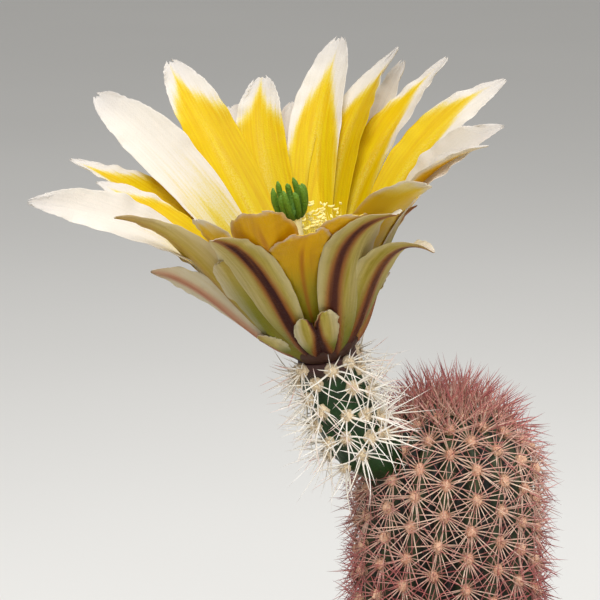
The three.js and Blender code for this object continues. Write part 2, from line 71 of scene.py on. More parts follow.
# Mesh helpers
class Surface:
    # Gathers sheets of points and their faces, with one number per point for each named mark
    def __init__(self, *marks):
        self.points, self.quads, self.tris = [], [], []
        self.marks = {name: [] for name in marks}
        self.count = 0

    def add(self, points, quads=None, tris=None, **values):
        # Each mark is one number for all the points, or one for each; marks not given are 0
        points = np.asarray(points, float).reshape(-1, 3)
        if quads is not None:
            self.quads.append(np.asarray(quads).reshape(-1, 4) + self.count)
        if tris is not None:
            self.tris.append(np.asarray(tris).reshape(-1, 3) + self.count)
        for name, column in self.marks.items():
            value = np.asarray(values.get(name, 0.0), float).reshape(-1)
            column.append(np.broadcast_to(value, (len(points),)))
        self.points.append(points)
        self.count += len(points)

    def piece(self, name, material, slot, *nodes):
        # Writes the gathered points (mm) as one closed mesh in metres and gives it to the frame
        points = np.concatenate(self.points) * mm
        quads = np.concatenate(self.quads) if self.quads else np.zeros((0, 4), int)
        tris = np.concatenate(self.tris) if self.tris else np.zeros((0, 3), int)
        mesh = bpy.data.meshes.new(name)
        mesh.vertices.add(len(points))
        mesh.vertices.foreach_set("co", points.astype(np.float32).ravel())
        corners = np.concatenate([quads.ravel(), tris.ravel()]).astype(np.int32)
        mesh.loops.add(len(corners))
        mesh.loops.foreach_set("vertex_index", corners)
        starts = np.concatenate([np.arange(len(quads)) * 4, len(quads) * 4 + np.arange(len(tris)) * 3])
        mesh.polygons.add(len(quads) + len(tris))
        mesh.polygons.foreach_set("loop_start", starts.astype(np.int32))
        mesh.update(calc_edges=True)
        mesh.polygons.foreach_set("use_smooth", np.ones(len(mesh.polygons), bool))
        for mark, column in self.marks.items():
            layer = mesh.attributes.new(mark, "FLOAT", "POINT")
            layer.data.foreach_set("value", np.concatenate(column).astype(np.float32))
        mesh.materials.append(material)
        mesh.validate()
        thing = bpy.data.objects.new(name, mesh)
        bpy.context.collection.objects.link(thing)
        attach(thing, "root")
        if nodes:
            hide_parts(*nodes)
        print(name, len(points), "points", 2 * len(quads) + len(tris), "triangles")
        return thing


def gridQuads(rows, columns):
    # Faces of a rows x columns sheet whose last column meets the first
    row, ring = np.arange(rows - 1)[:, None] * columns, np.arange(columns)
    a, b = row + ring, row + (ring + 1) % columns
    return np.stack([a, b, b + columns, a + columns], -1).reshape(-1, 4)


def cappedFaces(rows, columns, turned=False):
    # Faces of that sheet and of two fans that close it at its poles, which are the two points after
    # its own: one before the first row, one after the last. Turned faces look the other way.
    ring, count = np.arange(columns), rows * columns
    following, last = (ring + 1) % columns, count - columns
    fans = [(following, ring, count), (last + ring, last + following, count + 1)]
    tris = np.concatenate([np.stack(np.broadcast_arrays(*fan), -1) for fan in fans])
    quads = gridQuads(rows, columns)
    return (quads[:, ::-1], tris[:, ::-1]) if turned else (quads, tris)


def addCapped(surface, sheet, first, last, turned=False, **marks):
    # Adds a sheet of points that wraps round, with its two poles
    points = np.concatenate([sheet.reshape(-1, 3), [first, last]])
    surface.add(points, *cappedFaces(*sheet.shape[:2], turned), **marks)


def addCopies(surface, rings, first, last, **marks):
    # Adds many small capped sheets at once: an array of count x rows x columns points
    count, rows, columns = rings.shape[:3]
    points = np.concatenate([rings.reshape(count, -1, 3), first[:, None], last[:, None]], 1)
    here = np.arange(count)[:, None, None] * (rows * columns + 2)
    quads, tris = cappedFaces(rows, columns)
    surface.add(points, quads[None] + here, tris[None] + here, **marks)


def unit(v):
    # Each vector divided by its own length
    return v / np.maximum(np.linalg.norm(v, axis=-1, keepdims=True), 1e-9)


def aroundTurn(sides):
    # The angles of a full turn in equal steps
    return np.arange(sides) / sides * 2 * np.pi


def polar(radius, angle, height):
    # Points at a radius and an angle round +Z, and at a height
    return np.stack(np.broadcast_arrays(radius * np.cos(angle), radius * np.sin(angle), height), -1)


def smooth(low, high, x):
    # 0 below low, 1 above high, an S-curve between
    t = np.clip((x - low) / (high - low), 0, 1)
    return t * t * (3 - 2 * t)


def ripple(x, seed, waves=4):
    # A sum of seeded sines between about -1 and 1 along x, which has a period of 1
    draw = np.random.default_rng(seed)
    total = np.zeros_like(np.asarray(x, float))
    for k in range(1, waves + 1):
        total = total + draw.uniform(0.5, 1) * np.sin(2 * np.pi * (k * x + draw.random())) / k ** 0.5
    return total / waves ** 0.5


def swelling(sheet, centres, reach):
    # exp(-(distance to the nearest centre / reach) squared) at each point, taken row by row
    near = [np.linalg.norm(row[:, None] - centres, axis=-1).min(1) for row in sheet]
    return np.exp(-(np.array(near) / reach) ** 2)


def circles(side, other, sides, squash=1.0):
    # A circle of unit radius in the plane of each pair of directions
    turn = aroundTurn(sides)[None, :, None]
    return np.cos(turn) * side[:, None] + squash * np.sin(turn) * other[:, None]


def needles(surface, base, aim, length, radius, bend, stations, sides, power, **marks):
    # N pointed rods as one array. A rod's middle runs base + aim * length * t + bend * t squared, and
    # its radius falls as (1 - t) to a power. Marks are one number per rod; "along" is t itself.
    t = np.linspace(0, 1, stations + 1)[:-1]
    middle = (base[:, None] + aim[:, None] * (length[:, None] * t)[..., None]
              + bend[:, None] * (t ** 2)[None, :, None])
    side = unit(np.cross(aim, np.where(np.abs(aim[:, 2:3]) < 0.9, [[0, 0, 1.0]], [[1.0, 0, 0]])))
    wide = radius[:, None] * (1 - t[None]) ** power
    rings = middle[:, :, None] + wide[:, :, None, None] * circles(side, np.cross(aim, side), sides)[:, None]
    along = np.append(np.repeat(t, sides), [0.0, 1.0])
    values = {name: np.repeat(value, len(along)) for name, value in marks.items()}
    addCopies(surface, rings, base, base + aim * length[:, None] + bend,
              along=np.tile(along, len(base)), **values)


def rodAlong(surface, path, radii, sides, squash=1.0, **marks):
    # A closed tube: circles of the given radii carried along a path of points
    aim = unit(np.gradient(path, axis=0))
    side = unit(np.cross(np.cross(aim, np.cross(aim[0], [0.3, 0.9, 0.2])), aim))
    sheet = path[:, None] + np.array(radii)[:, None, None] * circles(side, np.cross(aim, side), sides, squash)
    along = np.append(np.repeat(np.linspace(0, 1, len(path)), sides), [0.0, 1.0])
    addCapped(surface, sheet, path[0], path[-1], along=along, **marks)


# Shader helpers
def plug(tree, slot, item):
    # Links a wrapped number or a socket to a slot, or sets the slot to a plain value
    item = getattr(item, "socket", item)
    if isinstance(item, bpy.types.NodeSocket):
        tree.links.new(item, slot)
    else:
        slot.default_value = item


class Number:
    # Wraps a number socket, so that shader maths is written as Python
    def __init__(self, tree, socket):
        self.tree, self.socket = tree, socket

    def maths(self, operation, other=0.0, swapped=False):
        # One Math node on this number and the other, in that order unless swapped
        node = self.tree.nodes.new("ShaderNodeMath")
        node.operation = operation
        for slot, item in zip(node.inputs, (other, self) if swapped else (self, other)):
            plug(self.tree, slot, item)
        return Number(self.tree, node.outputs[0])

    def __add__(self, other): return self.maths("ADD", other)
    def __radd__(self, other): return self.maths("ADD", other)
    def __sub__(self, other): return self.maths("SUBTRACT", other)
    def __rsub__(self, other): return self.maths("SUBTRACT", other, True)
    def __mul__(self, other): return self.maths("MULTIPLY", other)
    def __rmul__(self, other): return self.maths("MULTIPLY", other)

    def ramp(self, low, high):
        # 0 below low and 1 above high, smoothly
        node = self.tree.nodes.new("ShaderNodeMapRange")
        node.interpolation_type = "SMOOTHSTEP"
        self.tree.links.new(self.socket, node.inputs["Value"])
        node.inputs["From Min"].default_value = low
        node.inputs["From Max"].default_value = high
        return Number(self.tree, node.outputs["Result"])


def paint(red, green, blue):
    # Screen colour 0..255 to the linear colour that the shaders take
    share = np.array([red, green, blue]) / 255
    linear = np.where(share <= 0.04045, share / 12.92, ((share + 0.055) / 1.055) ** 2.4)
    return (*linear.tolist(), 1.0)


class Finish:
    # One material: a Principled shader and short ways to add the nodes that feed it
    def __init__(self, name, **fixed):
        self.material = bpy.data.materials.new(name)
        self.material.use_nodes = True
        self.tree = self.material.node_tree
        self.shader = self.tree.nodes["Principled BSDF"]
        for socket, value in fixed.items():
            self.shader.inputs[socket.replace("_", " ")].default_value = value

    def node(self, kind, settings=None, inputs=None, out=0):
        # Adds a node with its settings and inputs and gives one of its outputs
        node = self.tree.nodes.new(kind)
        for name, value in (settings or {}).items():
            setattr(node, name, value)
        for name, value in (inputs or {}).items():
            plug(self.tree, node.inputs[name], value)
        return node.outputs[out]

    def mark(self, name):
        # One of the mesh's own numbers
        return Number(self.tree, self.node("ShaderNodeAttribute", {"attribute_name": name}, out="Fac"))

    def noise(self, scale, detail):
        # Cloudy noise in the object's own metres, about 1 / scale wide
        coords = self.node("ShaderNodeTexCoord", out="Object")
        inputs = {"Vector": coords, "Scale": scale, "Detail": detail, "Roughness": 0.55}
        return Number(self.tree, self.node("ShaderNodeTexNoise", {}, inputs))

    def strands(self, scaleAcross, scaleAlong, detail=3.0):
        # Noise stretched along the blade, read from its own across and along marks in mm
        across, along = self.mark("acrossMm") * scaleAcross, self.mark("alongMm") * scaleAlong
        blades = self.mark("tone") * 37.0  # Sets every blade's noise apart
        vector = self.node("ShaderNodeCombineXYZ", {}, {"X": across, "Y": along, "Z": blades})
        inputs = {"Vector": vector, "Scale": 1.0, "Detail": detail}
        return Number(self.tree, self.node("ShaderNodeTexNoise", {}, inputs))

    def blend(self, mask, one, other):
        # Colour one where the mask is 0, the other where it is 1
        mix = self.tree.nodes.new("ShaderNodeMix")
        mix.data_type = "RGBA"
        for slot, item in ((mix.inputs[0], mask), (mix.inputs[6], one), (mix.inputs[7], other)):
            plug(self.tree, slot, item)
        return mix.outputs[2]

    def layers(self, colour, *steps):
        # Lays each step's colour over what is below, where the step's mask is 1
        for mask, *shade in steps:
            colour = self.blend(mask, colour, paint(*shade))
        return colour

    def feed(self, socket, value):
        plug(self.tree, self.shader.inputs[socket], value)

    def dress(self, colour, roughness=None, bump=None):
        # Feeds the shader its colour and, where given, its roughness and a bump of (height, strength,
        # distance)
        self.feed("Base Color", colour)
        if roughness is not None:
            self.feed("Roughness", roughness)
        if bump is not None:
            inputs = dict(zip(("Height", "Strength", "Distance"), bump))
            self.feed("Normal", self.node("ShaderNodeBump", {}, inputs))

    def glowThrough(self, share, shades, mask=None):
        # Lets light through: mixes translucent shaders, one or two shades, with the main one
        first = self.node("ShaderNodeBsdfTranslucent", {}, {"Color": shades[0]})
        if mask is not None:
            second = self.node("ShaderNodeBsdfTranslucent", {}, {"Color": shades[1]})
            first = self.node("ShaderNodeMixShader", {}, {0: mask, 1: first, 2: second})
        mixed = self.node("ShaderNodeMixShader", {}, {0: share, 1: self.shader.outputs[0], 2: first})
        self.tree.links.new(mixed, self.tree.nodes["Material Output"].inputs["Surface"])


# Stem: flesh, wool and spines
stem = {"ribs": 18, "depth": 2.6, "radius": 21.0, "domeStart": 140.0, "domeHeight": 18.0, "straightTo": 70.0,
        "foot": [[20.0, 66.0], [15.5, 64.3], [0.0, 64.0]], "footTilt": [-0.6, -1.2, -1.5], "spread": 1.5,
        "areoleStep": 7.35, "firstAreole": 1.5, "bareFoot": 24, "areoleLift": 0.35, "areoleGap": 3.7,
        "phase": 4.0, "twist": 0.3, "twistAt": 135.5, "twistWithin": (84, 150), "swell": (0.45, 2.3),
        "rows": 150, "ribColumns": 14, "ribsFade": (64.5, 70)}


def stemMeridian():
    # Radius, height and outward tilt against the distance from the crown: an ellipse, then nearly straight
    u = np.linspace(90, 0, 181) * deg
    below = np.linspace(stem["domeStart"] - 0.5, stem["straightTo"], 140)
    spread = stem["radius"] + stem["spread"] * (stem["domeStart"] - below) / 60
    foot = np.array(stem["foot"])
    radius = np.concatenate([stem["radius"] * np.cos(u), spread, foot[:, 0]])
    height = np.concatenate([stem["domeStart"] + stem["domeHeight"] * np.sin(u), below, foot[:, 1]])
    tilt = np.arctan2(np.sin(u) / stem["domeHeight"], np.cos(u) / stem["radius"])
    tilt = np.concatenate([tilt, np.zeros(len(below)), stem["footTilt"]])
    along = np.concatenate([[0], np.cumsum(np.hypot(np.diff(radius), np.diff(height)))])
    return along, radius, height, tilt


stemLine = stemMeridian()


def ribTwist(height):
    # The ribs lean a little round the stem, a fixed turn for each millimetre of height
    return (stem["phase"] + stem["twist"] * (np.clip(height, *stem["twistWithin"]) - stem["twistAt"])) * deg


def stemAreoles():
    # Every second rib takes a row, half a step apart; where the ribs crowd, near ones are left out
    along, *lines = stemLine
    draw = np.random.default_rng(5)
    step = stem["areoleStep"] / 2
    chosen = []
    for row in range(int((along[-1] - stem["bareFoot"]) / step)):
        for rib in range(row % 2, stem["ribs"], 2):
            s = stem["firstAreole"] + row * step + draw.uniform(-0.5, 0.5) * min(1, row / 8)
            r, z, a = (np.interp(s, along, line) for line in lines)
            angle = rib / stem["ribs"] * 2 * np.pi + ribTwist(z) + draw.uniform(-0.02, 0.02)
            out = np.array([math.cos(angle), math.sin(angle), 0])
            middle = out * (r + stem["areoleLift"]) + [0, 0, z]
            if all(np.linalg.norm(middle - other[0]) > stem["areoleGap"] for other in chosen):
                chosen.append((middle, out * math.cos(a) + [0, 0, math.sin(a)], s))
    return [np.array(column) for column in zip(*chosen)]


areoleAt, areoleOut, areoleDown = stemAreoles()
areoleSide = unit(np.cross([0, 0, 1.0], areoleOut))
areoleUp = np.cross(areoleOut, areoleSide)
print("stem areoles", len(areoleAt))


def buildStemFlesh():
    # Radius falls from crest to valley by the rib depth times (1 - cos) of the rib angle, with a
    # low swelling under every areole
    along, radius, height, _ = stemLine
    rows = np.concatenate([np.linspace(0.4, along[-4], stem["rows"]), along[-3:-1]])
    angle = aroundTurn(stem["ribs"] * stem["ribColumns"])
    r, z = (np.interp(rows, along, line)[:, None] for line in (radius, height))
    crowd = np.clip(r / stem["radius"], 0, 1) ** 0.7
    valley = crowd * (0.5 - 0.5 * np.cos(angle * stem["ribs"])) ** 1.15
    r = r - stem["depth"] * valley * smooth(*stem["ribsFade"], z)
    points = polar(r, angle + ribTwist(z), z)
    swell, reach = stem["swell"]
    outward = unit(points * [1, 1, 0] + [0, 0, 1e-6])
    points = points + outward * (swell * swelling(points, areoleAt, reach))[..., None]
    surface = Surface("valley")
    addCapped(surface, points, [0, 0, height[0]], [0, 0, height[-1]], True, valley=np.append(valley, [0, 0]))
    skin = Finish("stemSkin", Roughness=0.62)
    cells, patches, corky = skin.noise(900, 4), skin.noise(140, 3), skin.noise(60, 2)
    # The near-black step where the valley mark is high is painted shade in the rib valleys; the other steps are the
    # skin's own patches and corky spots
    green = skin.layers(paint(38, 52, 24), (patches.ramp(0.35, 0.7), 56, 68, 32),
                        (skin.mark("valley").ramp(0.1, 0.8), 10, 17, 8),
                        (corky.ramp(0.6, 0.8) * 0.35, 120, 100, 66))
    skin.dress(green, cells * 0.3 + 0.45, (cells, 0.35, 0.0006))
    surface.piece("stemFlesh", skin.material, "stem", "stem")


buildStemFlesh()


wool = {"rings": 4, "sides": 10, "climb": 80, "rough": (0.82, 1.16), "sunk": 0.6, "top": 0.8,
        "hairRadius": 0.07, "hairLean": 0.9, "hairBend": 0.35, "hairVaries": (0.6, 1.2)}


def woolPads(surface, middle, out, side, up, halfWide, halfTall, thick, draw):
    # A low domed oval on every areole: rings of a half ellipsoid, roughened by seeded draws
    rings, sides = wool["rings"], wool["sides"]
    climb = (np.linspace(0, wool["climb"], rings) * deg)[None, :, None]
    turn = aroundTurn(sides)[None, None]
    rough = draw.uniform(*wool["rough"], (len(middle), rings, sides))
    x = np.cos(climb) * np.cos(turn) * halfWide[:, None, None] * rough
    y = np.cos(climb) * np.sin(turn) * halfTall[:, None, None] * rough
    h = (np.sin(climb) * rough - 0.25) * thick
    points = (middle[:, None, None] + x[..., None] * side[:, None, None] + y[..., None] * up[:, None, None]
              + h[..., None] * out[:, None, None])
    addCopies(surface, points, middle - out * thick * wool["sunk"], middle + out * thick * wool["top"],
              tone=np.repeat(draw.random(len(middle)), rings * sides + 2), along=0.3)


def woolHairs(surface, middle, out, side, up, halfWide, halfTall, length, perPad, draw):
    # Short tapered hairs that stand on each pad and lean outwards from its middle
    count = len(middle) * perPad
    pick = np.repeat(np.arange(len(middle)), perPad)
    turn, far = draw.uniform(0, 2 * np.pi, count), draw.uniform(0, 1, count) ** 0.6
    x, y = np.cos(turn) * far, np.sin(turn) * far
    flat = x[:, None] * side[pick] * halfWide[pick, None] + y[:, None] * up[pick] * halfTall[pick, None]
    aim = unit(out[pick] + wool["hairLean"] * unit(flat) * far[:, None] + draw.normal(0, 0.25, (count, 3)))
    long = length * draw.uniform(*wool["hairVaries"], count)
    bend = np.cross(aim, draw.normal(0, 1, (count, 3))) * wool["hairBend"] * long[:, None]
    needles(surface, middle[pick] + flat, aim, long, np.full(count, wool["hairRadius"]), bend, 2, 3, 0.7,
            tone=draw.random(count))


stemWool = {"halfWide": 1.25, "halfTall": 1.7, "thick": 2.4, "hairs": 30, "hairLength": 1.1, "youngest": 0.65}


def buildStemWool():
    # The pads near the crown are the youngest share of full size and reach it 10 mm down
    draw = np.random.default_rng(21)
    surface = Surface("along", "tone")
    small = smooth(0, 10, areoleDown) * (1 - stemWool["youngest"]) + stemWool["youngest"]
    wide, tall = stemWool["halfWide"] * small, stemWool["halfTall"] * small
    woolPads(surface, areoleAt, areoleOut, areoleSide, areoleUp, wide, tall, stemWool["thick"], draw)
    woolHairs(surface, areoleAt + areoleOut * 0.8, areoleOut, areoleSide, areoleUp, wide * 0.8, tall * 0.8,
              stemWool["hairLength"], stemWool["hairs"], draw)
    fleece = Finish("stemWool", Roughness=0.95)
    fuzz = fleece.noise(2600, 3)
    colour = fleece.layers(paint(236, 184, 150), (fleece.mark("tone"), 216, 150, 122),
                         (fuzz.ramp(0.35, 0.75), 244, 214, 184))
    fleece.dress(colour, None, (fuzz, 0.8, 0.0006))
    surface.piece("stemWool", fleece.material, "stem", "stem")


buildStemWool()


spines = {"radials": 19, "centrals": 4, "length": 8.2, "sideLonger": 2.6, "centralLength": (4, 7.5),
          "radius": (0.155, 0.215), "rise": (12, 38), "centralRise": (50, 80), "crownDepth": 22,
          "crownLonger": (0.5, 3.2), "upShorter": 0.28, "lowBelow": 92, "lowRise": 35}


def buildStemSpines():
    # Nineteen radial spines lie round each areole, shorter upward and longer sideways, and four
    # central ones stand in its middle. Towards the crown the rise of all of them nears upright and
    # they crowd into a brush; below the lowest ring in view they stand off the soil.
    draw = np.random.default_rng(31)
    surface = Surface("along", "tone", "blush")
    total = spines["radials"] + spines["centrals"]
    pick = np.repeat(np.arange(len(areoleAt)), total)
    order = np.tile(np.arange(total), len(areoleAt))
    count = len(pick)
    out, height = areoleOut[pick], areoleAt[pick, 2]
    radial = order < spines["radials"]
    start = np.repeat(draw.uniform(0, 1, len(areoleAt)), total)
    angle = np.where(radial, (order + start) / spines["radials"], draw.random(count)) * 2 * np.pi
    angle = angle + draw.normal(0, 0.07, count)
    crown = np.clip(1 - areoleDown[pick] / spines["crownDepth"], 0, 1)
    rise = np.where(radial, draw.uniform(*spines["rise"], count), draw.uniform(*spines["centralRise"], count))
    rise = (rise + (80 - rise) * crown ** 0.8 * draw.uniform(0.35, 0.9, count)) * deg
    length = np.where(radial, spines["length"] + spines["sideLonger"] * np.abs(np.cos(angle)),
                      draw.uniform(*spines["centralLength"], count))
    length = length * draw.uniform(0.85, 1.15, count)
    length = length * (1 - spines["upShorter"] * np.maximum(0, np.sin(angle)) * (1 - crown))
    length = length + crown * draw.uniform(*spines["crownLonger"], count)
    low = height < spines["lowBelow"]
    rise = np.where(low, np.maximum(rise, spines["lowRise"] * deg), rise)
    length = np.where(low, length * 0.8, length)
    flat = np.cos(angle)[:, None] * areoleSide[pick] + np.sin(angle)[:, None] * areoleUp[pick]
    aim = flat * np.cos(rise)[:, None] + out * np.sin(rise)[:, None]
    aim = unit(aim + np.array([0, 0, 1.0]) * (crown * 0.5 - 0.15)[:, None])
    base = areoleAt[pick] + out * 0.05 + flat * np.where(radial, 0.95, 0.2)[:, None]
    bend = out * (-0.035 * length * np.cos(rise))[:, None]
    bend = bend + np.cross(aim, draw.normal(0, 1, (count, 3))) * 0.02 * length[:, None]
    around = np.arctan2(areoleAt[pick, 1], areoleAt[pick, 0])
    bands = 0.34 + 0.36 * smooth(133, 118, height) * smooth(84, 96, height) + 0.14 * smooth(146, 154, height)
    blush = bands + 0.16 * np.cos(around) ** 2 + draw.normal(0, 0.16, count)
    radius = draw.uniform(*spines["radius"], count) * (1 + 0.2 * crown)
    needles(surface, base, aim, length, radius, bend, 3, 4, 0.7, tone=draw.random(count),
            blush=np.clip(blush, 0, 1))
    horn = Finish("stemSpine", Roughness=0.42)
    along, blush, tone, grain = horn.mark("along"), horn.mark("blush"), horn.mark("tone"), horn.noise(1500, 2)
    cream = horn.layers(paint(242, 218, 196), (tone, 216, 178, 156))
    rosy = horn.layers(paint(200, 116, 110), (tone, 138, 58, 64))
    colour = horn.blend((along * 0.9 + blush * 0.8 - 0.44 + grain * 0.25).ramp(0.1, 0.9), cream, rosy)
    colour = horn.layers(colour, (along.ramp(0.6, 1.0) * (blush * 0.7 + 0.35), 132, 56, 60))
    horn.dress(colour, grain * 0.25 + 0.3)
    surface.piece("stemSpines", horn.material, "stem", "stem")


buildStemSpines()


# Flower frame and tube
seat = np.array([-30.5, -20.0, 176.0])
axis = unit(np.array([-0.209, -0.179, 0.9615]))
frontAim = np.array([0, -0.978, 0.208])
flowerRight = unit(np.cross(axis, frontAim))
flowerBack = np.cross(axis, flowerRight)


def toWorld(points):
    # Points of the flower's own frame (+Z its axis, -Y its front) set on its seat
    return seat + points[..., :1] * flowerRight + points[..., 1:2] * flowerBack + points[..., 2:3] * axis


tube = {"root": (-15.4, -11, 148.6), "leaves": (-0.81, -0.58, 0.1), "rootPull": 9, "seatPull": 13,
        "radius": 6.2, "widens": 0.6, "belly": 1.2, "knob": 0.85, "knobReach": 2.6}


def tubeCurve():
    # A cubic curve from inside the stem's flank out and up to the flower's seat
    root, leaves = np.array(tube["root"]), unit(np.array(tube["leaves"]))
    u = np.linspace(0, 1, 241)[:, None]
    first, second = root + tube["rootPull"] * leaves, seat - tube["seatPull"] * axis
    line = (1 - u) ** 3 * root + 3 * (1 - u) ** 2 * u * first + 3 * (1 - u) * u ** 2 * second + u ** 3 * seat
    along = np.concatenate([[0], np.cumsum(np.linalg.norm(np.diff(line, axis=0), axis=1))])
    return along / along[-1], line, unit(np.gradient(line, axis=0))


tubeLine = tubeCurve()


def onTube(share, turn, lift=0.0):
    # Radius grows from root to neck with a belly between; turn 0 faces the viewer
    along, line, aim = tubeLine
    middle = np.stack([np.interp(share, along, line[:, k]) for k in range(3)], -1)
    tangent = unit(np.stack([np.interp(share, along, aim[:, k]) for k in range(3)], -1))
    front = unit(frontAim - (tangent @ frontAim)[..., None] * tangent)
    right = np.cross(tangent, front)
    belly = tube["belly"] * np.sin(np.pi * np.minimum(1, share / 0.95))
    radius = tube["radius"] + tube["widens"] * share + belly + lift
    out = front * np.cos(turn)[..., None] + right * np.sin(turn)[..., None]
    return middle + out * radius[..., None], out, tangent


def tubeAreoles():
    # Those on the near side stand where the photograph has them, the far ones in staggered rings
    near = [(0.9, -90), (0.945, 3), (0.855, 63), (0.867, -30), (0.772, 30), (0.652, 64), (0.75, -56),
            (0.67, -34), (0.6, 2), (0.537, 32), (0.421, 61), (0.37, 18), (0.455, -16), (0.95, 98),
            (0.955, 40), (0.96, -58), (0.56, -62), (0.3, -12), (0.3, 42), (0.45, -48), (0.25, -62), (0.33, -88)]
    far = [(0.34 + 0.16 * ring, 96 + 46 * k + 23 * (ring % 2)) for ring in range(4) for k in range(4)]
    share, turn = np.array([(s, t * deg) for s, t in near + far]).T
    return share, turn


tuftShare, tuftTurn = tubeAreoles()
tuftAt, tuftOut, tuftUp = onTube(tuftShare, tuftTurn, 0.55 + 0 * tuftShare)
tuftSide = unit(np.cross(tuftUp, tuftOut))


def buildTubeFlesh():
    # The tube's round wall, swollen into a low knob under each areole and dented by a seeded ripple
    rows, columns = 90, 96
    share = np.linspace(0, 1, rows)[:, None] + np.zeros((1, columns))
    turn = np.zeros((rows, 1)) + aroundTurn(columns)
    points, out, _ = onTube(share, turn)
    swell = swelling(points, tuftAt, tube["knobReach"])
    dents = 0.25 * ripple(turn / (2 * np.pi), 3, 3) * np.sin(share * 9)
    points = points + out * (tube["knob"] * swell - 0.15 + 0.5 * dents)[..., None]
    surface = Surface("share", "swell")
    addCapped(surface, points, tubeLine[1][0], tubeLine[1][-1], share=np.append(share, [0, 1]),
              swell=np.append(swell, [0, 0]))
    skin = Finish("tubeSkin", Specular_IOR_Level=0.3)
    cells, patches = skin.noise(1100, 4), skin.noise(220, 2)
    neck = (skin.mark("share") + patches * 0.12).ramp(0.9, 1.02)
    green = skin.layers(paint(8, 36, 8), (patches.ramp(0.3, 0.7), 20, 56, 14),
                        (skin.mark("swell").ramp(0.25, 0.9) * 0.7, 30, 62, 18), (neck, 66, 38, 34))
    skin.dress(green, cells * 0.3 + 0.28, (cells, 0.3, 0.0005))
    surface.piece("tubeFlesh", skin.material, "ovary", "ovary")


tubeWool = {"halfWide": (1.5, 1.9), "thick": 2.0, "hairs": 80, "hairLength": 1.1}


def buildTubeWool():
    # Round pads, each of its own drawn width, with more hairs than the stem's
    draw = np.random.default_rng(41)
    surface = Surface("along", "tone")
    wide = draw.uniform(*tubeWool["halfWide"], len(tuftAt))
    woolPads(surface, tuftAt, tuftOut, tuftSide, tuftUp, wide, wide * 1.05, tubeWool["thick"], draw)
    woolHairs(surface, tuftAt + tuftOut * 0.7, tuftOut, tuftSide, tuftUp, wide * 0.85, wide * 0.85,
              tubeWool["hairLength"], tubeWool["hairs"], draw)
    fleece = Finish("tubeWool", Roughness=0.95)
    fuzz = fleece.noise(2400, 3)
    colour = fleece.layers(paint(224, 198, 158), (fuzz.ramp(0.3, 0.75), 250, 234, 204))
    fleece.dress(colour, None, (fuzz, 0.8, 0.0006))
    surface.piece("tubeWool", fleece.material, "ovary", "ovary")


bristles = {"perAreole": 12, "length": (6.2, 11.6), "radius": (0.2, 0.3), "bends": (0.04, 0.2),
            "rise": (16, 52), "steepRise": (58, 84), "underLonger": 0.25, "neckShorter": 0.62}


def buildTubeBristles():
    # Twelve white bristles fan from each areole, every fifth one steep; some are nearly straight,
    # some bend. They are longer under the tube and shorter where the neck's would reach the tepals.
    draw = np.random.default_rng(43)
    surface = Surface("along", "tone", "blush")
    per = bristles["perAreole"]
    pick = np.repeat(np.arange(len(tuftAt)), per)
    order = np.tile(np.arange(per), len(tuftAt))
    count = len(pick)
    angle = (order + np.repeat(draw.random(len(tuftAt)), per)) / per * 2 * np.pi + draw.normal(0, 0.18, count)
    steep, low = (draw.uniform(*bristles[name], count) for name in ("steepRise", "rise"))
    rise = np.where(order % 5 == 4, steep, low) * deg
    flat = np.cos(angle)[:, None] * tuftSide[pick] + np.sin(angle)[:, None] * tuftUp[pick]
    aim = unit(flat * np.cos(rise)[:, None] + tuftOut[pick] * np.sin(rise)[:, None])
    length = draw.uniform(*bristles["length"], count)
    under = smooth(0.5, 0.3, tuftShare[pick]) * smooth(0.2, -0.6, np.sin(angle))
    length = length * (1 + bristles["underLonger"] * under)
    neck = (tuftShare[pick] > 0.85) & (np.sin(angle) > 0.2)
    length = np.where(neck, length * bristles["neckShorter"], length)
    bend = np.cross(aim, draw.normal(0, 1, (count, 3)))
    bend = bend * (draw.choice(bristles["bends"], count) * length)[:, None]
    needles(surface, tuftAt[pick] + tuftOut[pick] * 0.35 + flat * 0.45, aim, length,
            draw.uniform(*bristles["radius"], count), bend, 5, 4, 0.8, tone=draw.random(count),
            blush=np.clip(draw.normal(0.25, 0.2, count), 0, 1))
    horn = Finish("tubeBristle", Roughness=0.4)
    grain, blushing = horn.noise(1500, 2), horn.mark("along") * horn.mark("blush") * 1.4
    white = horn.layers(paint(255, 252, 245), (horn.mark("tone"), 242, 234, 218),
                        (blushing.ramp(0.2, 0.9), 222, 168, 160))
    horn.dress(white, grain * 0.25 + 0.28)
    surface.piece("tubeBristles", horn.material, "ovary", "ovary")


buildTubeFlesh()
buildTubeWool()
buildTubeBristles()


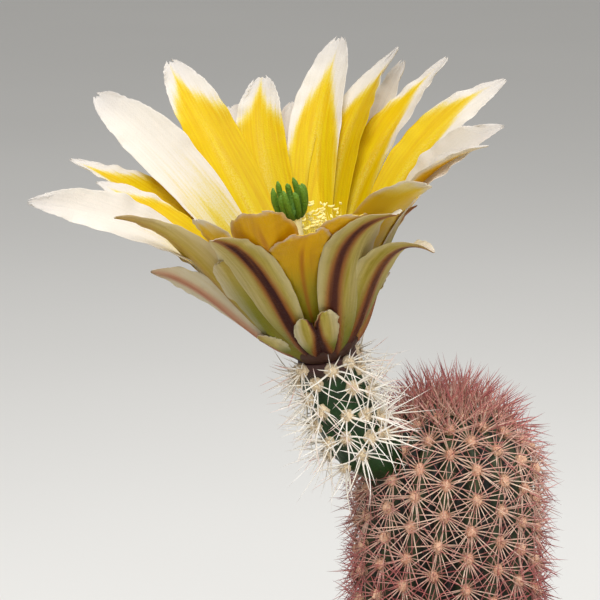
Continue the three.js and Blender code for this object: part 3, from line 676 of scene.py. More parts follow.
# Tepals
# [azimuth, opening at base, middle and tip, length, sweep, width, twist], then its own looks:
# white (0 yellow to 1 all white), warm (pink or orange on its back), ragged (how torn its margin
# is), point (0 round tip to 1 drawn out), keel (how sharply it folds along its midrib) and, where
# given, how far its yellow band stands off the middle
innerTepals = [
    [287, 30, 45, 68, 69, 3, 13, -64, 0.95, 0.4, 1.0, 0.85, 0.2],
    [268, 27, 44, 62, 46, 0, 9, -30, 0.7, 0.4, 0.8, 0.5, 0.2],
    [255, 26, 42, 56, 49.5, 0, 9, -20, 0.3, 0.3, 0.8, 0.7, 0.1],
    [241, 27, 46, 58, 57, 4, 11.5, 0, 0.22, 0.2, 1.1, 0.8, 0.2],
    [228, 29, 38, 57, 65.5, 0, 14, -30, 0.76, 0.2, 0.85, 0.35, 0.1],
    [193, 30, 47, 54, 50.5, -3, 12, 0, 0.8, 0.4, 0.7, 0.2, 0.2],
    [205, 28, 40, 51, 65.5, -2, 13.5, 0, 0.15, 0.2, 0.85, 0.3, 0.1, 0.15],
    [181, 31, 50, 53, 48.5, -8, 9, 0, 0.8, 0.8, 0.6, 0.3, 0.1],
    [191, 29, 42, 46, 54.6, -11, 12.5, 0, 0.12, 0.1, 0.8, 0.1, 0.1],
    [152, 34, 58, 48, 60, -7, 11, -10, 0.8, 0.4, 1.0, 0.6, 0.2],
    [168, 28, 49, 43, 63.8, -10, 13.5, 0, 0.5, 0.2, 0.9, 0.4, 0.1],
    [98, 27, 48, 64, 40, 0, 10, 0, 0.5, 0.4, 0.8, 0.8, 0.3],
    [143, 27, 58, 54, 62.5, -11, 12, -10, 0.48, 0.3, 1.0, 0.8, 0.25, 0.4],
    [119, 25, 57, 73, 60.8, -6, 12, 30, 0.56, 0.3, 1.1, 0.9, 0.3, 0.4],
    [157, 27, 52, 55, 62.5, -13, 14, -22, 0.24, 0.2, 1.0, 0.8, 0.3, -0.3],
    [65, 27, 43, 78, 59.3, 0, 11, 52, 0.8, 0.6, 1.0, 0.9, 0.2],
    [61, 28, 43.4, 84, 57, -1, 9, -8, 0.4, 0.55, 0.7, 1.0, 0.4],
    [40, 24, 38, 76, 46, 4, 14, -38, 0.1, 0.1, 0.7, 0.4, 0.1],
    [14, 22, 36, 59, 39, 9, 13, -15, 0.06, 0.6, 0.8, 0.2, 0.1],
    [-5, 21, 32, 47, 34.5, 8, 16, 0, 0.05, 0.8, 0.9, 0, 0],
    [-18.5, 22, 35, 44, 46.5, 6, 15, 0, 0.05, 0.7, 0.75, 0, 0.1],
    [-45, 23, 25, 32, 38, 0, 11, 0, 0.1, 0.3, 0.8, 0.3, 0.2]]
# The same eight numbers, then stripe (how strong the dark midline is), warm (a pink stripe instead of
# maroon, on a paler body), brown (dried tip), green (how far the green climbs), point, and where
# across it the stripe runs, which leaves its other side pale
outerTepals = [
    [-27.5, 52, 26.5, 59, 57, -1, 13, 12, 1, 0, 0.1, 0.4, 0.5, 0.42],
    [18.4, 52, 27.1, 82, 57, 13, 13.4, -12, 1, 0.1, 0.2, 0.35, 0.15, -0.55],
    [42, 52, 38.6, 108, 53.5, -3.5, 12.5, -25, 0.9, 0.1, 0.5, 0.5, 0.8, -0.1],
    [63, 53, 22.7, 67, 43.6, 0, 6, -30, 0.7, 0.5, 1, 0.5, 1, 0],
    [86, 53, 34, 50, 20, 0, 10, 0, 0.7, 0.2, 0.4, 0.5, 0.4, 0],
    [118, 53, 46, 60, 22, 0, 10, 0, 0.7, 0.1, 0.3, 0.5, 0.4, 0],
    [151, 53, 46, 74, 50, -6, 8, 0, 0.6, 0.3, 1, 0.5, 1, 0],
    [182, 53, 42, 72, 42, 0, 11, 0, 0.8, 0.1, 0.3, 0.5, 0.4, 0],
    [214, 53, 38, 68, 45, 0, 11, 0, 0.8, 0.2, 0.3, 0.5, 0.4, 0],
    [243, 53, 38, 70, 42, 0, 11, 0, 0.8, 0.2, 0.3, 0.5, 0.4, 0],
    [270, 53, 38, 60, 30, 0, 10, 0, 0.8, 0.1, 0.3, 0.5, 0.4, 0],
    [-67, 54, 34, 64, 46.5, 0, 10.5, 57, 0.75, 1, 0.3, 0.5, 0.9, 0],
    [-53.4, 51, 26.7, 68, 67, -5.3, 11, 30, 0.3, 0.5, 0.4, 0.6, 1, -0.5],
    [-45, 52.5, 26, 42, 43.5, 7, 11, 25, 0.2, 0.3, 0.1, 1.2, 0.2, 0.6]]
baseScales = [
    [-14, 47, 36, 26, 17.4, 3, 5.6, 0, 1, 0, 0, 0.5, 0.5, 0.95],
    [7, 46, 35, 27, 18, -1, 6.6, 0, 1, 0, 0, 0.5, 0.15, -0.8],
    [-50, 54, 44, 40, 13, 0, 7, 20, 0.9, 0, 0.3, 0.7, 0.8, -0.5],
    [100, 52, 38, 34, 8, 0, 6, 0, 0.9, 0, 0.3, 0.6, 0.8, 0],
    [130, 54, 44, 40, 10, 0, 6, 0, 0.9, 0, 0.3, 0.6, 0.8, 0],
    [215, 54, 44, 40, 10, 0, 6, 0, 0.9, 0, 0.3, 0.6, 0.8, 0]]
innerSprings = {"radius": 12.6, "height": 14.0, "baseShare": 0.52, "widest": 0.62, "stagger": 1.8}
outerSprings = {"radius": 6.3, "height": 1.6, "baseShare": 0.34, "widest": 0.6, "stagger": 0.7}
scaleSprings = {"radius": 9.6, "height": 3.9, "baseShare": 0.6, "widest": 0.55, "stagger": 0.0}
blade = {"steps": 300, "leastHalf": 0.25, "cup": 0.25, "keel": 0.45, "ruffle": 0.75, "groove": 0.28,
         "rimThick": 0.06, "thick": 0.24, "innerGrid": (76, 17), "outerGrid": (56, 17), "scaleGrid": (24, 11),
         "scaleUnder": 20}


def bladeSheets(entry, springs, index, rows, columns, ragged, point, keel, fold, seed):
    # Middle line: the opening angle is a parabola through base, middle and tip, and radius and
    # height are the sums of its sine and cosine. The half width rises to its widest share and
    # rounds off. Seeded sines notch the tip, tear the margin near it and wave it. The blade lifts
    # with q squared as a cup, with |q| as a keel, and by seeded folds. Returns both faces.
    azimuth, atBase, atMiddle, atTip, length, sweep, width, twist = entry[:8]
    way = np.linspace(0, 1, blade["steps"] + 1)
    opening = deg * (atBase * 2 * (way - 0.5) * (way - 1) - atMiddle * 4 * way * (way - 1)
                     + atTip * 2 * way * (way - 0.5))
    step = length / blade["steps"]
    radius = springs["radius"] + springs["stagger"] * (index % 2) + np.cumsum(np.sin(opening)) * step
    height = springs["height"] + np.cumsum(np.cos(opening)) * step
    share = 1 - (1 - np.linspace(0, 1, rows)) ** 1.7
    edge = np.sin(np.linspace(-1, 1, columns) * np.pi / 2)
    t, q = np.meshgrid(share, edge, indexing="ij")

    def eachSide(x, shift, waves):
        # A ripple of its own for either half of the blade
        return np.where(q < 0, ripple(x, seed + shift, waves), ripple(x, seed + shift + 1, waves))

    jag = ragged * (0.55 + 0.45 * ripple(q * 0.8, seed + 9, 5)) * (0.035 + 0.012 * np.cos(q * 9 + seed))
    shared = t - jag * smooth(0.72, 1, t)
    opening, radius, height = (np.interp(shared, way, line) for line in (opening, radius, height))
    turn = (azimuth + sweep * t ** 2) * deg
    zero = 0 * t
    out = np.stack([np.sin(turn), -np.cos(turn), zero], -1)
    across = np.stack([np.cos(turn), np.sin(turn), zero], -1)
    inward = -out * np.cos(opening)[..., None] + np.stack([zero, zero, np.sin(opening)], -1)
    roll = (twist * deg * t ** 1.2)[..., None]
    side = across * np.cos(roll) + inward * np.sin(roll)
    face = -across * np.sin(roll) + inward * np.cos(roll)
    middle = out * radius[..., None] + np.stack([zero, zero, height], -1)
    rising = np.sin(np.minimum(shared / springs["widest"], 1) * np.pi / 2) ** 1.3
    past = np.clip((shared - springs["widest"]) / (1 - springs["widest"]), 0, 1)
    broad = np.where(shared < springs["widest"], springs["baseShare"] + (1 - springs["baseShare"]) * rising,
                     np.maximum(0, 1 - past ** (2.4 - 1.0 * point)) ** (0.5 + 0.4 * point))
    blunt = 0.3 * max(0, 1 - 1.3 * point) * min(1, ragged) * smooth(0.8, 1, t)
    half = np.maximum(blade["leastHalf"], width / 2 * np.maximum(broad, blunt))
    teeth = np.where(q < 0, t * 34 + seed * 0.37, t * 39 + seed * 0.71) % 1 - 0.5
    nicks = (0.06 * teeth + 0.05 * eachSide(t * 9, 5, 5)) * smooth(0.7, 0.96, t)
    half = half * (1 + ragged * (0.07 * eachSide(t * 1.3, 0, 4) * smooth(0.3, 0.8, t) + nicks))
    lift = half * (blade["cup"] * q ** 2 + keel * blade["keel"] * (np.abs(q) - 0.35))
    ruffle = eachSide(t * 3, 2, 4) * np.abs(q) ** 2.2 * smooth(0.3, 0.7, t)
    lift = lift + ragged * blade["ruffle"] * ruffle * np.minimum(1, half / (0.32 * width))
    folds = ripple(q * 0.9 + 0.07 * np.sin(t * 5 + seed), seed + 4, 5) * (1 - q ** 2)
    groove = blade["groove"] * np.exp(-(q / 0.13) ** 2) * (1 - t)
    lift = lift + fold * folds * smooth(0.02, 0.3, t) - groove
    sheet = middle + side * (half * q)[..., None] + face * lift[..., None]
    thick = face * (blade["rimThick"] + blade["thick"] * (1 - q ** 2) * (1 - 0.6 * t))[..., None]
    return t, q, half, sheet + thick, sheet - thick


def addBlade(surface, entry, springs, index, grid, looks, **form):
    # Both faces share their margins and are closed at base and tip
    rows, columns = grid
    t, q, half, upper, lower = bladeSheets(entry, springs, index, rows, columns, **form)

    def ring(a, b):
        return np.concatenate([a, b[:, columns - 2:0:-1]], 1)

    points = ring(upper, lower)
    points[:, 0] = (upper[:, 0] + lower[:, 0]) / 2
    points[:, columns - 1] = (upper[:, -1] + lower[:, -1]) / 2
    per = 2 * columns - 2
    k = np.arange(1, columns - 2)
    last = (rows - 1) * per
    caps = np.stack([k, k + 1, per - k - 1, per - k], -1)
    ends = np.array([[0, 1, per - 1], [columns - 2, columns - 1, columns]])
    quads = np.concatenate([gridQuads(rows, per)[:, ::-1], caps, caps[:, ::-1] + last])
    tris = np.concatenate([ends, ends[:, ::-1] + last])
    faceUp = ring(0 * t + 1, 0 * t)
    faceUp[:, [0, columns - 1]] = 0.5
    t, q, half = ring(t, t), ring(q, q), ring(half, half)
    marks = {"faceUp": faceUp, "share": t, "across": q, "acrossMm": half * q, "alongMm": t * entry[4],
             "tone": form["seed"] * 0.137 % 1, **looks(t, q, half)}
    surface.add(toWorld(points), quads, tris, **marks)


def ringAround(surface, profile, sides, **marks):
    # A closed outline of (radius, height) corners turned about the flower's axis
    profile = np.array(profile)
    quads = gridQuads(len(profile) + 1, sides) % (len(profile) * sides)
    surface.add(toWorld(polar(profile[:, :1], aroundTurn(sides), profile[:, 1:])), quads, None, **marks)


def buildInnerTepals():
    # White gains on the yellow from tip and rim, the further the whiter an entry is; the ring at the
    # end is the throat that they stand on
    surface = Surface("faceUp", "share", "across", "acrossMm", "alongMm", "tone", "pale", "warm")
    for index, entry in enumerate(innerTepals):
        white, warm, ragged, point, keel, *band = entry[8:]
        off = sum(band)

        def looks(t, q, _):
            q = q - off * smooth(0.1, 0.6, t)
            rim = smooth(0.5, 1, np.abs(q)) * (0.35 + 0.65 * t)
            tip = smooth(0.6 - 0.34 * white, 1.02, t - 0.12 * np.exp(-(q / 0.25) ** 2))
            spread = 1.05 * tip + rim * (0.1 + 1.3 * white) + np.abs(q) * t * white * 0.6
            pale = smooth(0.22, 1.08, spread) * smooth(0.0, 0.15, white)
            body = 0.62 * smooth(0.1, 0.5, t + 0.5 * np.abs(q)) + 0.38 * smooth(0.35, 0.75, t)
            allWhite = smooth(0.55, 0.8, white) * body
            return {"pale": np.clip(np.maximum(pale, allWhite), 0, 1), "warm": warm}

        addBlade(surface, entry, innerSprings, index, blade["innerGrid"], looks, ragged=ragged, point=point,
                 keel=keel, fold=0.07 + 0.3 * smooth(0.6, 0.9, warm), seed=100 + 7 * index)
    outline = [[4.2, 0.3], [5, 0.3], [7.3, 3.1], [9.6, 6], [12.6, 11], [15.4, 16], [15.0, 16.5], [12.8, 16.2],
               [10.4, 11], [8.6, 6], [6.2, 3]]
    upward = np.repeat([0, 0, 0, 0, 0, 0.5, 1, 1, 1, 1, 1], 72)
    ringAround(surface, outline, 72, faceUp=upward, share=0.02, tone=0.3)
    petal = Finish("innerTepal", Roughness=0.42, Specular_IOR_Level=0.22)
    share, pale, up, warm = (petal.mark(name) for name in ("share", "pale", "faceUp", "warm"))
    across = petal.mark("across").maths("ABSOLUTE")
    veins, sparkle = petal.strands(2.2, 0.07), petal.noise(3200, 2)
    soft = (pale + (veins - 0.5) * 0.5 + (sparkle - 0.5) * 0.4).ramp(0.05, 0.95)
    # glint is a painted highlight: pale yellow flecks along the middle of each blade, fading towards its tip
    glint = across.ramp(0.35, 0.0) * sparkle.ramp(0.35, 0.65) * share.ramp(0.95, 0.4) * 0.55
    # The pale yellow step near each blade's base is a painted highlight at the throat
    inside = petal.layers(paint(230, 190, 0), (veins.ramp(0.3, 0.7), 240, 213, 0), (glint, 250, 238, 118),
                          (share.ramp(0.3, 0.02) * 0.8, 250, 236, 96), (soft.ramp(0.0, 0.55), 240, 221, 96))
    # The grey step towards the tip is painted shade on the white parts
    white = petal.layers(paint(238, 233, 225), (veins.ramp(0.25, 0.75), 247, 243, 235),
                         (share.ramp(0.8, 1.0) * 0.5, 206, 204, 208),
                         (warm * veins.ramp(0.35, 0.8) * 0.4, 240, 216, 208))
    inside = petal.blend(soft.ramp(0.35, 1.0), inside, white)
    rim = (across.ramp(0.76, 1.0) * 0.6 + share.ramp(0.93, 1.01) * 0.6 + pale * 0.8).ramp(0.25, 1.1)
    # Brown lengthwise lines on warm backs: partly the veins' own colour, partly painted shade of the folds
    veinsAndFoldShade = petal.strands(0.42, 0.035, 2).ramp(0.48, 0.72) * warm * 0.6
    midline = across.ramp(0.13, 0.0) * warm.ramp(0.4, 0.8) * share.ramp(0.95, 0.7) * 0.7
    back = petal.layers(paint(206, 184, 40), (warm.ramp(0.1, 0.45), 208, 166, 4),
                        ((share + (veins - 0.5) * 0.2).ramp(0.72, 0.2), 136, 136, 30), (rim, 196, 186, 164),
                        (veinsAndFoldShade, 150, 100, 34), (midline, 150, 74, 22))
    petal.dress(petal.blend(up.ramp(0.35, 0.65), back, inside), sparkle * 0.25 + 0.32,
                (veins * 0.25 + sparkle * 0.7, 0.4, 0.0005))
    petal.glowThrough(0.35, [paint(236, 196, 0), paint(246, 238, 220)], soft)
    surface.piece("innerTepals", petal.material, "inner_tepals", "inner_tepals")


def buildOuterTepals():
    # The stripe falls off as exp(-0.75 x squared), x the distance across it in stripe widths; the
    # ring at the end is the collar at the tube's neck
    surface = Surface("faceUp", "share", "across", "acrossMm", "alongMm", "tone", "stripe", "warm",
                      "brown", "green", "collar", "fair")
    for index, entry in enumerate(outerTepals + baseScales):
        stripe, warm, brown, green, point, place = entry[8:]
        scale = entry[4] < blade["scaleUnder"]

        def looks(t, q, half):
            wide = (2.2 * (1 - t) ** 1.1 if scale else 1.15 * (1.5 - 0.8 * t)) / np.maximum(half, 1.2) + 0.04
            off = np.abs(q - place * (1 if scale else 1 - 0.5 * t)) / wide
            fair = np.clip(-1.7 * q * place, 0, 1) * smooth(0.15, 0.5, t)
            centre = np.exp(-off ** 2 * 0.75) * (1 - 0.4 * smooth(0.85, 1, t))
            return {"stripe": stripe * centre, "warm": warm, "brown": brown * smooth(0.8, 1.0, t),
                    "green": green, "fair": fair}

        grid, springs = (blade["scaleGrid"], scaleSprings) if scale else (blade["outerGrid"], outerSprings)
        addBlade(surface, entry, springs, index, grid, looks, ragged=0.75, point=point, keel=0.15, fold=0.2,
                 seed=400 + 7 * index)
    collar = [[5.2, 0.3], [6.8, 0.3], [7.9, 1.4], [9.1, 2.9], [9.9, 4.2], [9.6, 4.9], [8.0, 3.4], [5.6, 1.2]]
    ringAround(surface, collar, 72, tone=0.3, green=1.0, collar=1.0)
    petal = Finish("outerTepal", Roughness=0.45, Specular_IOR_Level=0.22)
    share, up, green = (petal.mark(name) for name in ("share", "faceUp", "green"))
    warm, stripe = petal.mark("warm"), petal.mark("stripe")
    across = petal.mark("across").maths("ABSOLUTE")
    veins, sparkle = petal.strands(1.7, 0.08), petal.noise(2800, 2)
    climb = (green * 0.5 + 0.3 - share + (veins - 0.5) * 0.2).ramp(0.0, 0.42)
    halo = (stripe + (veins - 0.5) * 0.35).ramp(0.04, 0.7)
    core = (stripe + (veins - 0.5) * 0.3).ramp(0.55, 0.92)
    body = petal.layers(paint(156, 140, 40), (veins.ramp(0.25, 0.75), 196, 178, 92), (climb, 100, 112, 10),
                        (across.ramp(0.6, 1.0) * share.ramp(0.1, 0.4) * 0.6, 212, 200, 156),
                        (warm.ramp(0.2, 0.5) * 0.5, 188, 152, 30),
                        (warm.ramp(0.55, 1.0) * (veins * 0.5 + 0.55), 212, 204, 180),
                        (petal.mark("fair") * (veins * 0.7 + 0.3), 212, 202, 170))
    body = petal.blend(halo * 0.85, body, petal.blend(warm, paint(146, 70, 24), paint(196, 134, 96)))
    body = petal.blend(core, body, petal.blend(warm, paint(54, 12, 4), paint(168, 98, 72)))
    body = petal.layers(body, (petal.mark("brown"), 152, 92, 56))
    body = petal.blend(petal.mark("collar"), body, petal.blend(sparkle, paint(58, 34, 30), paint(84, 52, 42)))
    inside = petal.layers(paint(226, 200, 84), (share.ramp(0.35, 0.9), 240, 232, 214),
                          (halo * 0.3, 206, 150, 128))
    petal.dress(petal.blend(up.ramp(0.35, 0.65), body, inside), sparkle * 0.25 + 0.35,
                (veins * 0.7 + sparkle * 0.4 + petal.noise(600, 3) * 1.2, 0.5, 0.0006))
    petal.glowThrough(0.3, [paint(206, 190, 92), paint(110, 52, 30)], halo)
    surface.piece("outerTepals", petal.material, "outer_tepals", "outer_tepals")


buildInnerTepals()
buildOuterTepals()


# Stamens, style and stigma
stamens = {"count": 240, "foot": 9.0, "footHeight": (7.8, 10.5), "reach": (3.6, 13.0), "top": (29, 37),
           "thread": (0.14, 0.2), "antherHalf": (0.6, 0.95), "antherRadii": [0.14, 0.28, 0.33, 0.28, 0.14],
           "ring": [[7.6, 7.6], [8.4, 7.6], [9.1, 8.2], [9.3, 9.6], [8.6, 9.4], [8.0, 8.6]]}


def buildStamens():
    # Filaments rise from the throat in a ring and spread to a loose cloud round the style
    draw = np.random.default_rng(51)
    count = stamens["count"]
    turn = draw.uniform(0, 2 * np.pi, count)
    low = polar(stamens["foot"], turn, draw.uniform(*stamens["footHeight"], count))
    bow = turn + draw.normal(0, 0.25, count)
    reach = draw.uniform(*stamens["reach"], count)
    base, tip = toWorld(low), toWorld(polar(reach, bow, draw.uniform(*stamens["top"], count) - 0.25 * reach))
    aim = tip - base
    length = np.linalg.norm(aim, axis=1)
    surface = Surface("along", "tone")
    bend = np.cross(aim, draw.normal(0, 1, (count, 3))) * 0.08
    radius = draw.uniform(*stamens["thread"], count)
    needles(surface, base, aim / length[:, None], length, radius, bend, 4, 5, 0.25, tone=draw.random(count))
    ringAround(surface, stamens["ring"], 48, tone=0.5)
    thread = Finish("filament", Roughness=0.45)
    grain = thread.noise(1600, 2)
    thread.dress(thread.layers(paint(206, 202, 70), (thread.mark("along"), 240, 218, 96),
                               (grain.ramp(0.3, 0.8) * 0.4, 255, 246, 170)))
    surface.piece("filaments", thread.material, "stamens", "stamens")
    # Anthers: short bent grains, each set across the end of its filament
    cross = unit(np.cross(aim, draw.normal(0, 1, (count, 3))))
    surface = Surface("along", "tone")
    span = np.linspace(-1, 1, 5)[:, None]
    for end, sideways, way in zip(tip + bend, cross, unit(aim)):
        path = end + span * sideways * draw.uniform(*stamens["antherHalf"]) + (span ** 2) * way * 0.35
        rodAlong(surface, path, stamens["antherRadii"], 6, 0.75, tone=draw.random())
    anther = Finish("anther", Roughness=0.8)
    pollen = anther.noise(4200, 2)
    anther.dress(anther.layers(paint(250, 228, 120), (pollen.ramp(0.3, 0.75), 255, 248, 190)), None,
                 (pollen, 0.7, 0.0003))
    surface.piece("anthers", anther.material, "stamens", "stamens")


style = {"foot": 0.4, "top": 36.0, "radius": 1.2, "footWiden": 0.24, "topWiden": 0.54,
         "flutes": 10, "flute": 0.05}


def buildStyle():
    # A slim column, slightly wider at both ends, with shallow flutes
    rows, sides = 40, 28
    height, angle = np.linspace(style["foot"], style["top"], rows)[:, None], aroundTurn(sides)
    widen = style["footWiden"] * smooth(6, 0, height) + style["topWiden"] * smooth(31, 36, height)
    radius = style["radius"] + widen
    wide = radius * (1 + style["flute"] * np.cos(style["flutes"] * angle) * smooth(8, 30, height))
    surface = Surface("along")
    ends = toWorld(np.array([[0, 0, style["foot"]], [0, 0, style["top"]]]))
    along = np.append(np.repeat(height / style["top"], sides), [0, 1])
    addCapped(surface, toWorld(polar(wide, angle, height)), *ends, along=along)
    column = Finish("styleColumn", Roughness=0.4)
    grain = column.noise(1300, 3)
    colour = column.layers(paint(226, 222, 150), (column.mark("along"), 246, 240, 206),
                           (grain.ramp(0.4, 0.8) * 0.4, 255, 252, 232))
    column.dress(colour, None, (grain, 0.3, 0.0004))
    surface.piece("styleColumn", column.material, "style", "style")


stigma = {"lobes": 10, "tall": (7.9, 9.0), "foot": 34.6, "knob": (35.0, 36.8),
          "knobRadii": [1.0, 1.5, 1.75, 1.75, 1.5, 1.1, 0.4]}


def buildStigma():
    # Ten finger lobes rise from a knob, bow out and lean in again at their tips
    surface = Surface("along", "tone")
    draw = np.random.default_rng(61)
    knob = toWorld(np.array([[0, 0, h] for h in np.linspace(*stigma["knob"], len(stigma["knobRadii"]))]))
    rodAlong(surface, knob, stigma["knobRadii"], 20, tone=0.4)
    t = np.linspace(0, 1, 14)
    for k in range(stigma["lobes"]):
        tall = stigma["tall"][k % 2] + draw.uniform(-0.3, 0.3)
        turn = (k + 0.3) * 360 / stigma["lobes"] * deg + 0.25 * t * draw.uniform(-1, 1)
        reach = np.interp(t, [0, 0.25, 0.5, 0.8, 1], [0.5, 2.0, 3.3, 3.85, 3.55]) + draw.uniform(-0.15, 0.15)
        height = stigma["foot"] + np.interp(t, [0, 0.25, 0.5, 0.8, 1], [0.6, 1.1, 2.9, 6.2, tall])
        wide = np.interp(t, [0, 0.25, 0.7, 0.9, 0.97, 1], [0.6, 0.72, 0.8, 0.72, 0.48, 0.2])
        rodAlong(surface, toWorld(polar(reach, turn, height)), wide, 12, 0.9, tone=draw.random())
    lobe = Finish("stigmaLobe", Roughness=0.6)
    velvet = lobe.noise(2600, 3)
    lobe.dress(lobe.layers(paint(34, 84, 2), (lobe.mark("along"), 92, 132, 10),
                           (velvet.ramp(0.45, 0.8) * 0.6, 116, 154, 34)), None, (velvet, 0.8, 0.0005))
    surface.piece("stigmaLobes", lobe.material, "stigma", "stigma")


buildStamens()
buildStyle()
buildStigma()


# Pot and soil
pot = {"foot": 36.0, "flare": 13.0, "height": 88.0, "rim": 68, "floor": 8, "mouth": 46.9,
       "drainHoles": 3, "drainRadius": 4.0, "drainAt": 18.0, "sides": 128}


def wallAt(height):
    # The wall's radius grows evenly from foot to rim
    return pot["foot"] + pot["flare"] / pot["height"] * height


def buildPot():
    # The outline of a plain rimmed clay pot turned round +Z, with faint throwing rings and three
    # drain holes cut through its floor
    rimFoot, floorEdge = wallAt(pot["rim"]), wallAt(pot["floor"])
    corner = [[0, 0], [20, 0], [34.4, 0], [35.4, 0.3], [36, 1]]
    wall = [[wallAt(z), z] for z in np.linspace(3, 67, 30)]
    rim = [[rimFoot + 0.2, 68], [rimFoot + 2.4, 68.6], [rimFoot + 3, 70]]
    band = [[np.interp(z, [70, 86], [rimFoot + 3, 51.95]), z] for z in np.linspace(71.5, 86, 10)]
    lip = [[51.7, 87.2], [50.6, 88], [48.4, 88], [47.2, 87.6], [pot["mouth"], 86.6]]
    inside = [[np.interp(z, [8, 86], [floorEdge - 5, pot["mouth"]]), z] for z in np.linspace(84, 10, 24)]
    floor = [[floorEdge - 6, 8.4], [floorEdge - 8, 8], [18, 8], [0, 8]]
    draw = np.random.default_rng(71)
    phase = draw.uniform(0, 6.28, 6)

    def wobble(radius, height, angle):
        # Throwing rings up the wall and a slight oval lean, both fading out at foot and floor
        rings = 0.1 * np.sin(height * 1.9 + phase[0]) + 0.06 * np.sin(height * 4.3 + phase[1])
        lean = 0.12 * np.sin(angle * 2 + phase[2]) * height / pot["height"]
        lean = lean + 0.05 * np.sin(angle * 5 + height * 0.3)
        fade = smooth(30, 36, radius) * smooth(0.5, 4, height)
        return radius + (rings + lean) * fade

    outline = np.array(corner + wall + rim + band + lip + inside + floor)
    angle, height = aroundTurn(pot["sides"]), outline[1:-1, 1:]
    surface = Surface()
    addCapped(surface, polar(wobble(outline[1:-1, :1], height, angle), angle, height), [0, 0, outline[0, 1]],
              [0, 0, outline[-1, 1]])
    clay = Finish("potClay", Roughness=0.85)
    grain, cloud, bloom = clay.noise(420, 5), clay.noise(28, 3), clay.noise(70, 4)
    colour = clay.layers(paint(186, 104, 70), (cloud.ramp(0.3, 0.7), 204, 128, 92),
                         (bloom.ramp(0.62, 0.78) * 0.5, 226, 192, 168),
                         (grain.ramp(0.6, 0.8) * 0.4, 140, 72, 48))
    clay.dress(colour, grain * 0.2 + 0.72, (grain, 0.4, 0.0006))
    holder = surface.piece("clayPot", clay.material, "clay", "pot")
    for k in range(pot["drainHoles"]):
        turn = k * 360 / pot["drainHoles"] * deg
        bpy.ops.mesh.primitive_cylinder_add(vertices=32, radius=pot["drainRadius"] * mm, depth=30 * mm,
                                            location=polar(pot["drainAt"], turn, 4.0) * mm)
        cutter = bpy.context.object
        cut = holder.modifiers.new("drain", "BOOLEAN")
        cut.operation, cut.object, cut.solver = "DIFFERENCE", cutter, "EXACT"
        shape = bpy.data.meshes.new_from_object(holder.evaluated_get(bpy.context.evaluated_depsgraph_get()))
        holder.modifiers.clear()
        holder.data = shape
        bpy.data.objects.remove(cutter)


def mounds(x, y):
    # Low hollows and rises of the soil's top: a sum of seeded plane waves
    draw = np.random.default_rng(81)
    total = 0 * x
    for _ in range(16):
        turn, wave = draw.uniform(0, np.pi), draw.uniform(0.12, 0.75)
        phase = wave * (x * math.cos(turn) + y * math.sin(turn)) + draw.uniform(0, 6)
        total = total + np.sin(phase) * 0.13 / wave ** 0.5
    return total


soil = {"top": 79.6, "floor": 8.3, "hollow": 23.5, "hollowFloor": 63.7, "wall": (31.6, 43.2), "rough": 0.14}


def buildSoil():
    # A plug that fills the pot, its top rough with mounds, and a plain hollow for the stem's foot
    sides = 120
    angle = aroundTurn(sides)
    floor, bed = soil["floor"], soil["hollowFloor"]
    top = [(soil["hollow"], z, m) for z, m in ((bed, 0), (72, 0), (78.4, 0.3))]
    top += [(r, soil["top"], 1) for r in np.linspace(24.3, 42, 22)] + [(42.9, 79.4, 1)]
    side = [(min(np.interp(z, [floor, 79], soil["wall"]), 43.0), z, 0) for z in (79.0, 60, 40, 20, 9.5, floor)]
    rows = np.array([(12, bed, 0)] + top + side)
    r, z, m = rows[:, :1], rows[:, 1:2], rows[:, 2:3]
    x, y = r * np.cos(angle), r * np.sin(angle)
    rough = np.random.default_rng(82).uniform(-soil["rough"], soil["rough"], (len(rows) + 2, sides))[1:-1]
    points = np.stack([x, y, z + m * (mounds(x, y) + rough)], -1)
    surface = Surface()
    addCapped(surface, points, [0, 0, bed], [0, 0, floor], True)
    earth = Finish("soilMix", Roughness=0.95)
    grain, cloud = earth.noise(700, 5), earth.noise(120, 3)
    colour = earth.layers(paint(70, 50, 36), (cloud.ramp(0.3, 0.7), 104, 80, 58),
                          (grain.ramp(0.55, 0.8), 142, 118, 92))
    earth.dress(colour, None, (grain, 0.9, 0.0012))
    surface.piece("pottingSoil", earth.material, "soil", "soil")


grit = {"count": 1500, "from": 24.6, "to": 41.4, "size": (0.45, 1.5), "squash": (0.55, 1.0),
        "dent": (0.82, 1.12), "rise": 0.25}


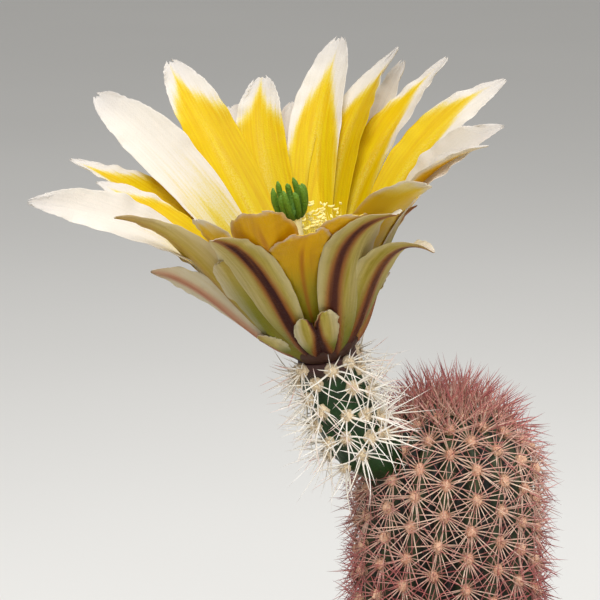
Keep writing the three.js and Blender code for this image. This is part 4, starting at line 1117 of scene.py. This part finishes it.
def buildGrit():
    # Small stones: the twelve corners of an icosahedron, squashed, turned and dented by seeded draws
    draw = np.random.default_rng(91)
    gold = (1 + 5 ** 0.5) / 2
    ico = unit(np.array([[-1, gold, 0], [1, gold, 0], [-1, -gold, 0], [1, -gold, 0],
                         [0, -1, gold], [0, 1, gold], [0, -1, -gold], [0, 1, -gold],
                         [gold, 0, -1], [gold, 0, 1], [-gold, 0, -1], [-gold, 0, 1]]))
    faces = np.array([[0, 11, 5], [0, 5, 1], [0, 1, 7], [0, 7, 10], [0, 10, 11], [1, 5, 9], [5, 11, 4], [11, 10, 2],
                      [10, 7, 6], [7, 1, 8], [3, 9, 4], [3, 4, 2], [3, 2, 6], [3, 6, 8], [3, 8, 9], [4, 9, 5],
                      [2, 4, 11], [6, 2, 10], [8, 6, 7], [9, 8, 1]])
    count = grit["count"]
    far = np.sqrt(draw.uniform(grit["from"] ** 2, grit["to"] ** 2, count))
    turn = draw.uniform(0, 2 * np.pi, count)
    size = draw.uniform(*grit["size"], count) ** 1.1
    x, y = far * np.cos(turn), far * np.sin(turn)
    ground = soil["top"] + mounds(x, y)
    frameTurn = np.linalg.qr(draw.normal(0, 1, (count, 3, 3)))[0]
    frameTurn[np.linalg.det(frameTurn) < 0] *= -1
    squash = draw.uniform(*grit["squash"], (count, 1, 3))
    shape = ico[None] * draw.uniform(*grit["dent"], (count, 12, 1)) * squash
    shape = np.einsum("nij,nkj->nki", frameTurn, shape) * size[:, None, None]
    points = shape + np.stack([x, y, ground + size * grit["rise"]], -1)[:, None]
    surface = Surface("tone")
    tris = faces[None] + np.arange(count)[:, None, None] * 12
    surface.add(points, None, tris, tone=np.repeat(draw.random(count), 12))
    stone = Finish("gritStone", Roughness=0.8)
    speck, tone = stone.noise(900, 4), stone.mark("tone")
    colour = stone.layers(paint(150, 136, 118), (tone.ramp(0.2, 0.8), 198, 182, 158),
                          (tone.ramp(0.82, 0.86), 120, 84, 66), (speck.ramp(0.5, 0.8), 96, 86, 76))
    stone.dress(colour, None, (speck, 0.5, 0.0006))
    stones = surface.piece("surfaceGrit", stone.material, "soil", "soil")
    stones.data.polygons.foreach_set("use_smooth", np.zeros(len(stones.data.polygons), bool))


buildPot()
buildSoil()
buildGrit()


# Studio
studio = {"sky": 0.42, "key": ((-0.15, -0.75, 0.95), 0.5, 8.8), "fill": ((0.7, -0.65, 0.65), 0.6, 3.2),
          "top": ((0.15, 0.3, 1.0), 0.5, 4.2)}


def buildStudio():
    # A pale floor far wider than the frame, a soft even sky and three large soft lights
    bpy.ops.mesh.primitive_plane_add(size=12, location=(0, 0, -0.0005))
    floor = bpy.context.object
    floor.name = "studioFloor"
    pale = Finish("studioPale", Roughness=0.9)
    pale.feed("Base Color", pale.blend(pale.noise(3, 2), paint(226, 225, 222), paint(232, 231, 228)))
    floor.data.materials.append(pale.material)
    world = bpy.data.worlds.new("studioSky")
    world.use_nodes = True
    world.node_tree.nodes["Background"].inputs[0].default_value = (1.0, 0.99, 0.97, 1)
    world.node_tree.nodes["Background"].inputs[1].default_value = studio["sky"]
    bpy.context.scene.world = world
    target = Vector((-0.02, -0.01, 0.18))
    for name in ("key", "fill", "top"):
        place, size, power = studio[name]
        data = bpy.data.lights.new(name, "AREA")
        data.size, data.energy = size, power
        lamp = bpy.data.objects.new(name, data)
        lamp.location = place
        lamp.rotation_euler = (target - lamp.location).to_track_quat("-Z", "Y").to_euler()
        bpy.context.collection.objects.link(lamp)


buildStudio()
print("studio lit")
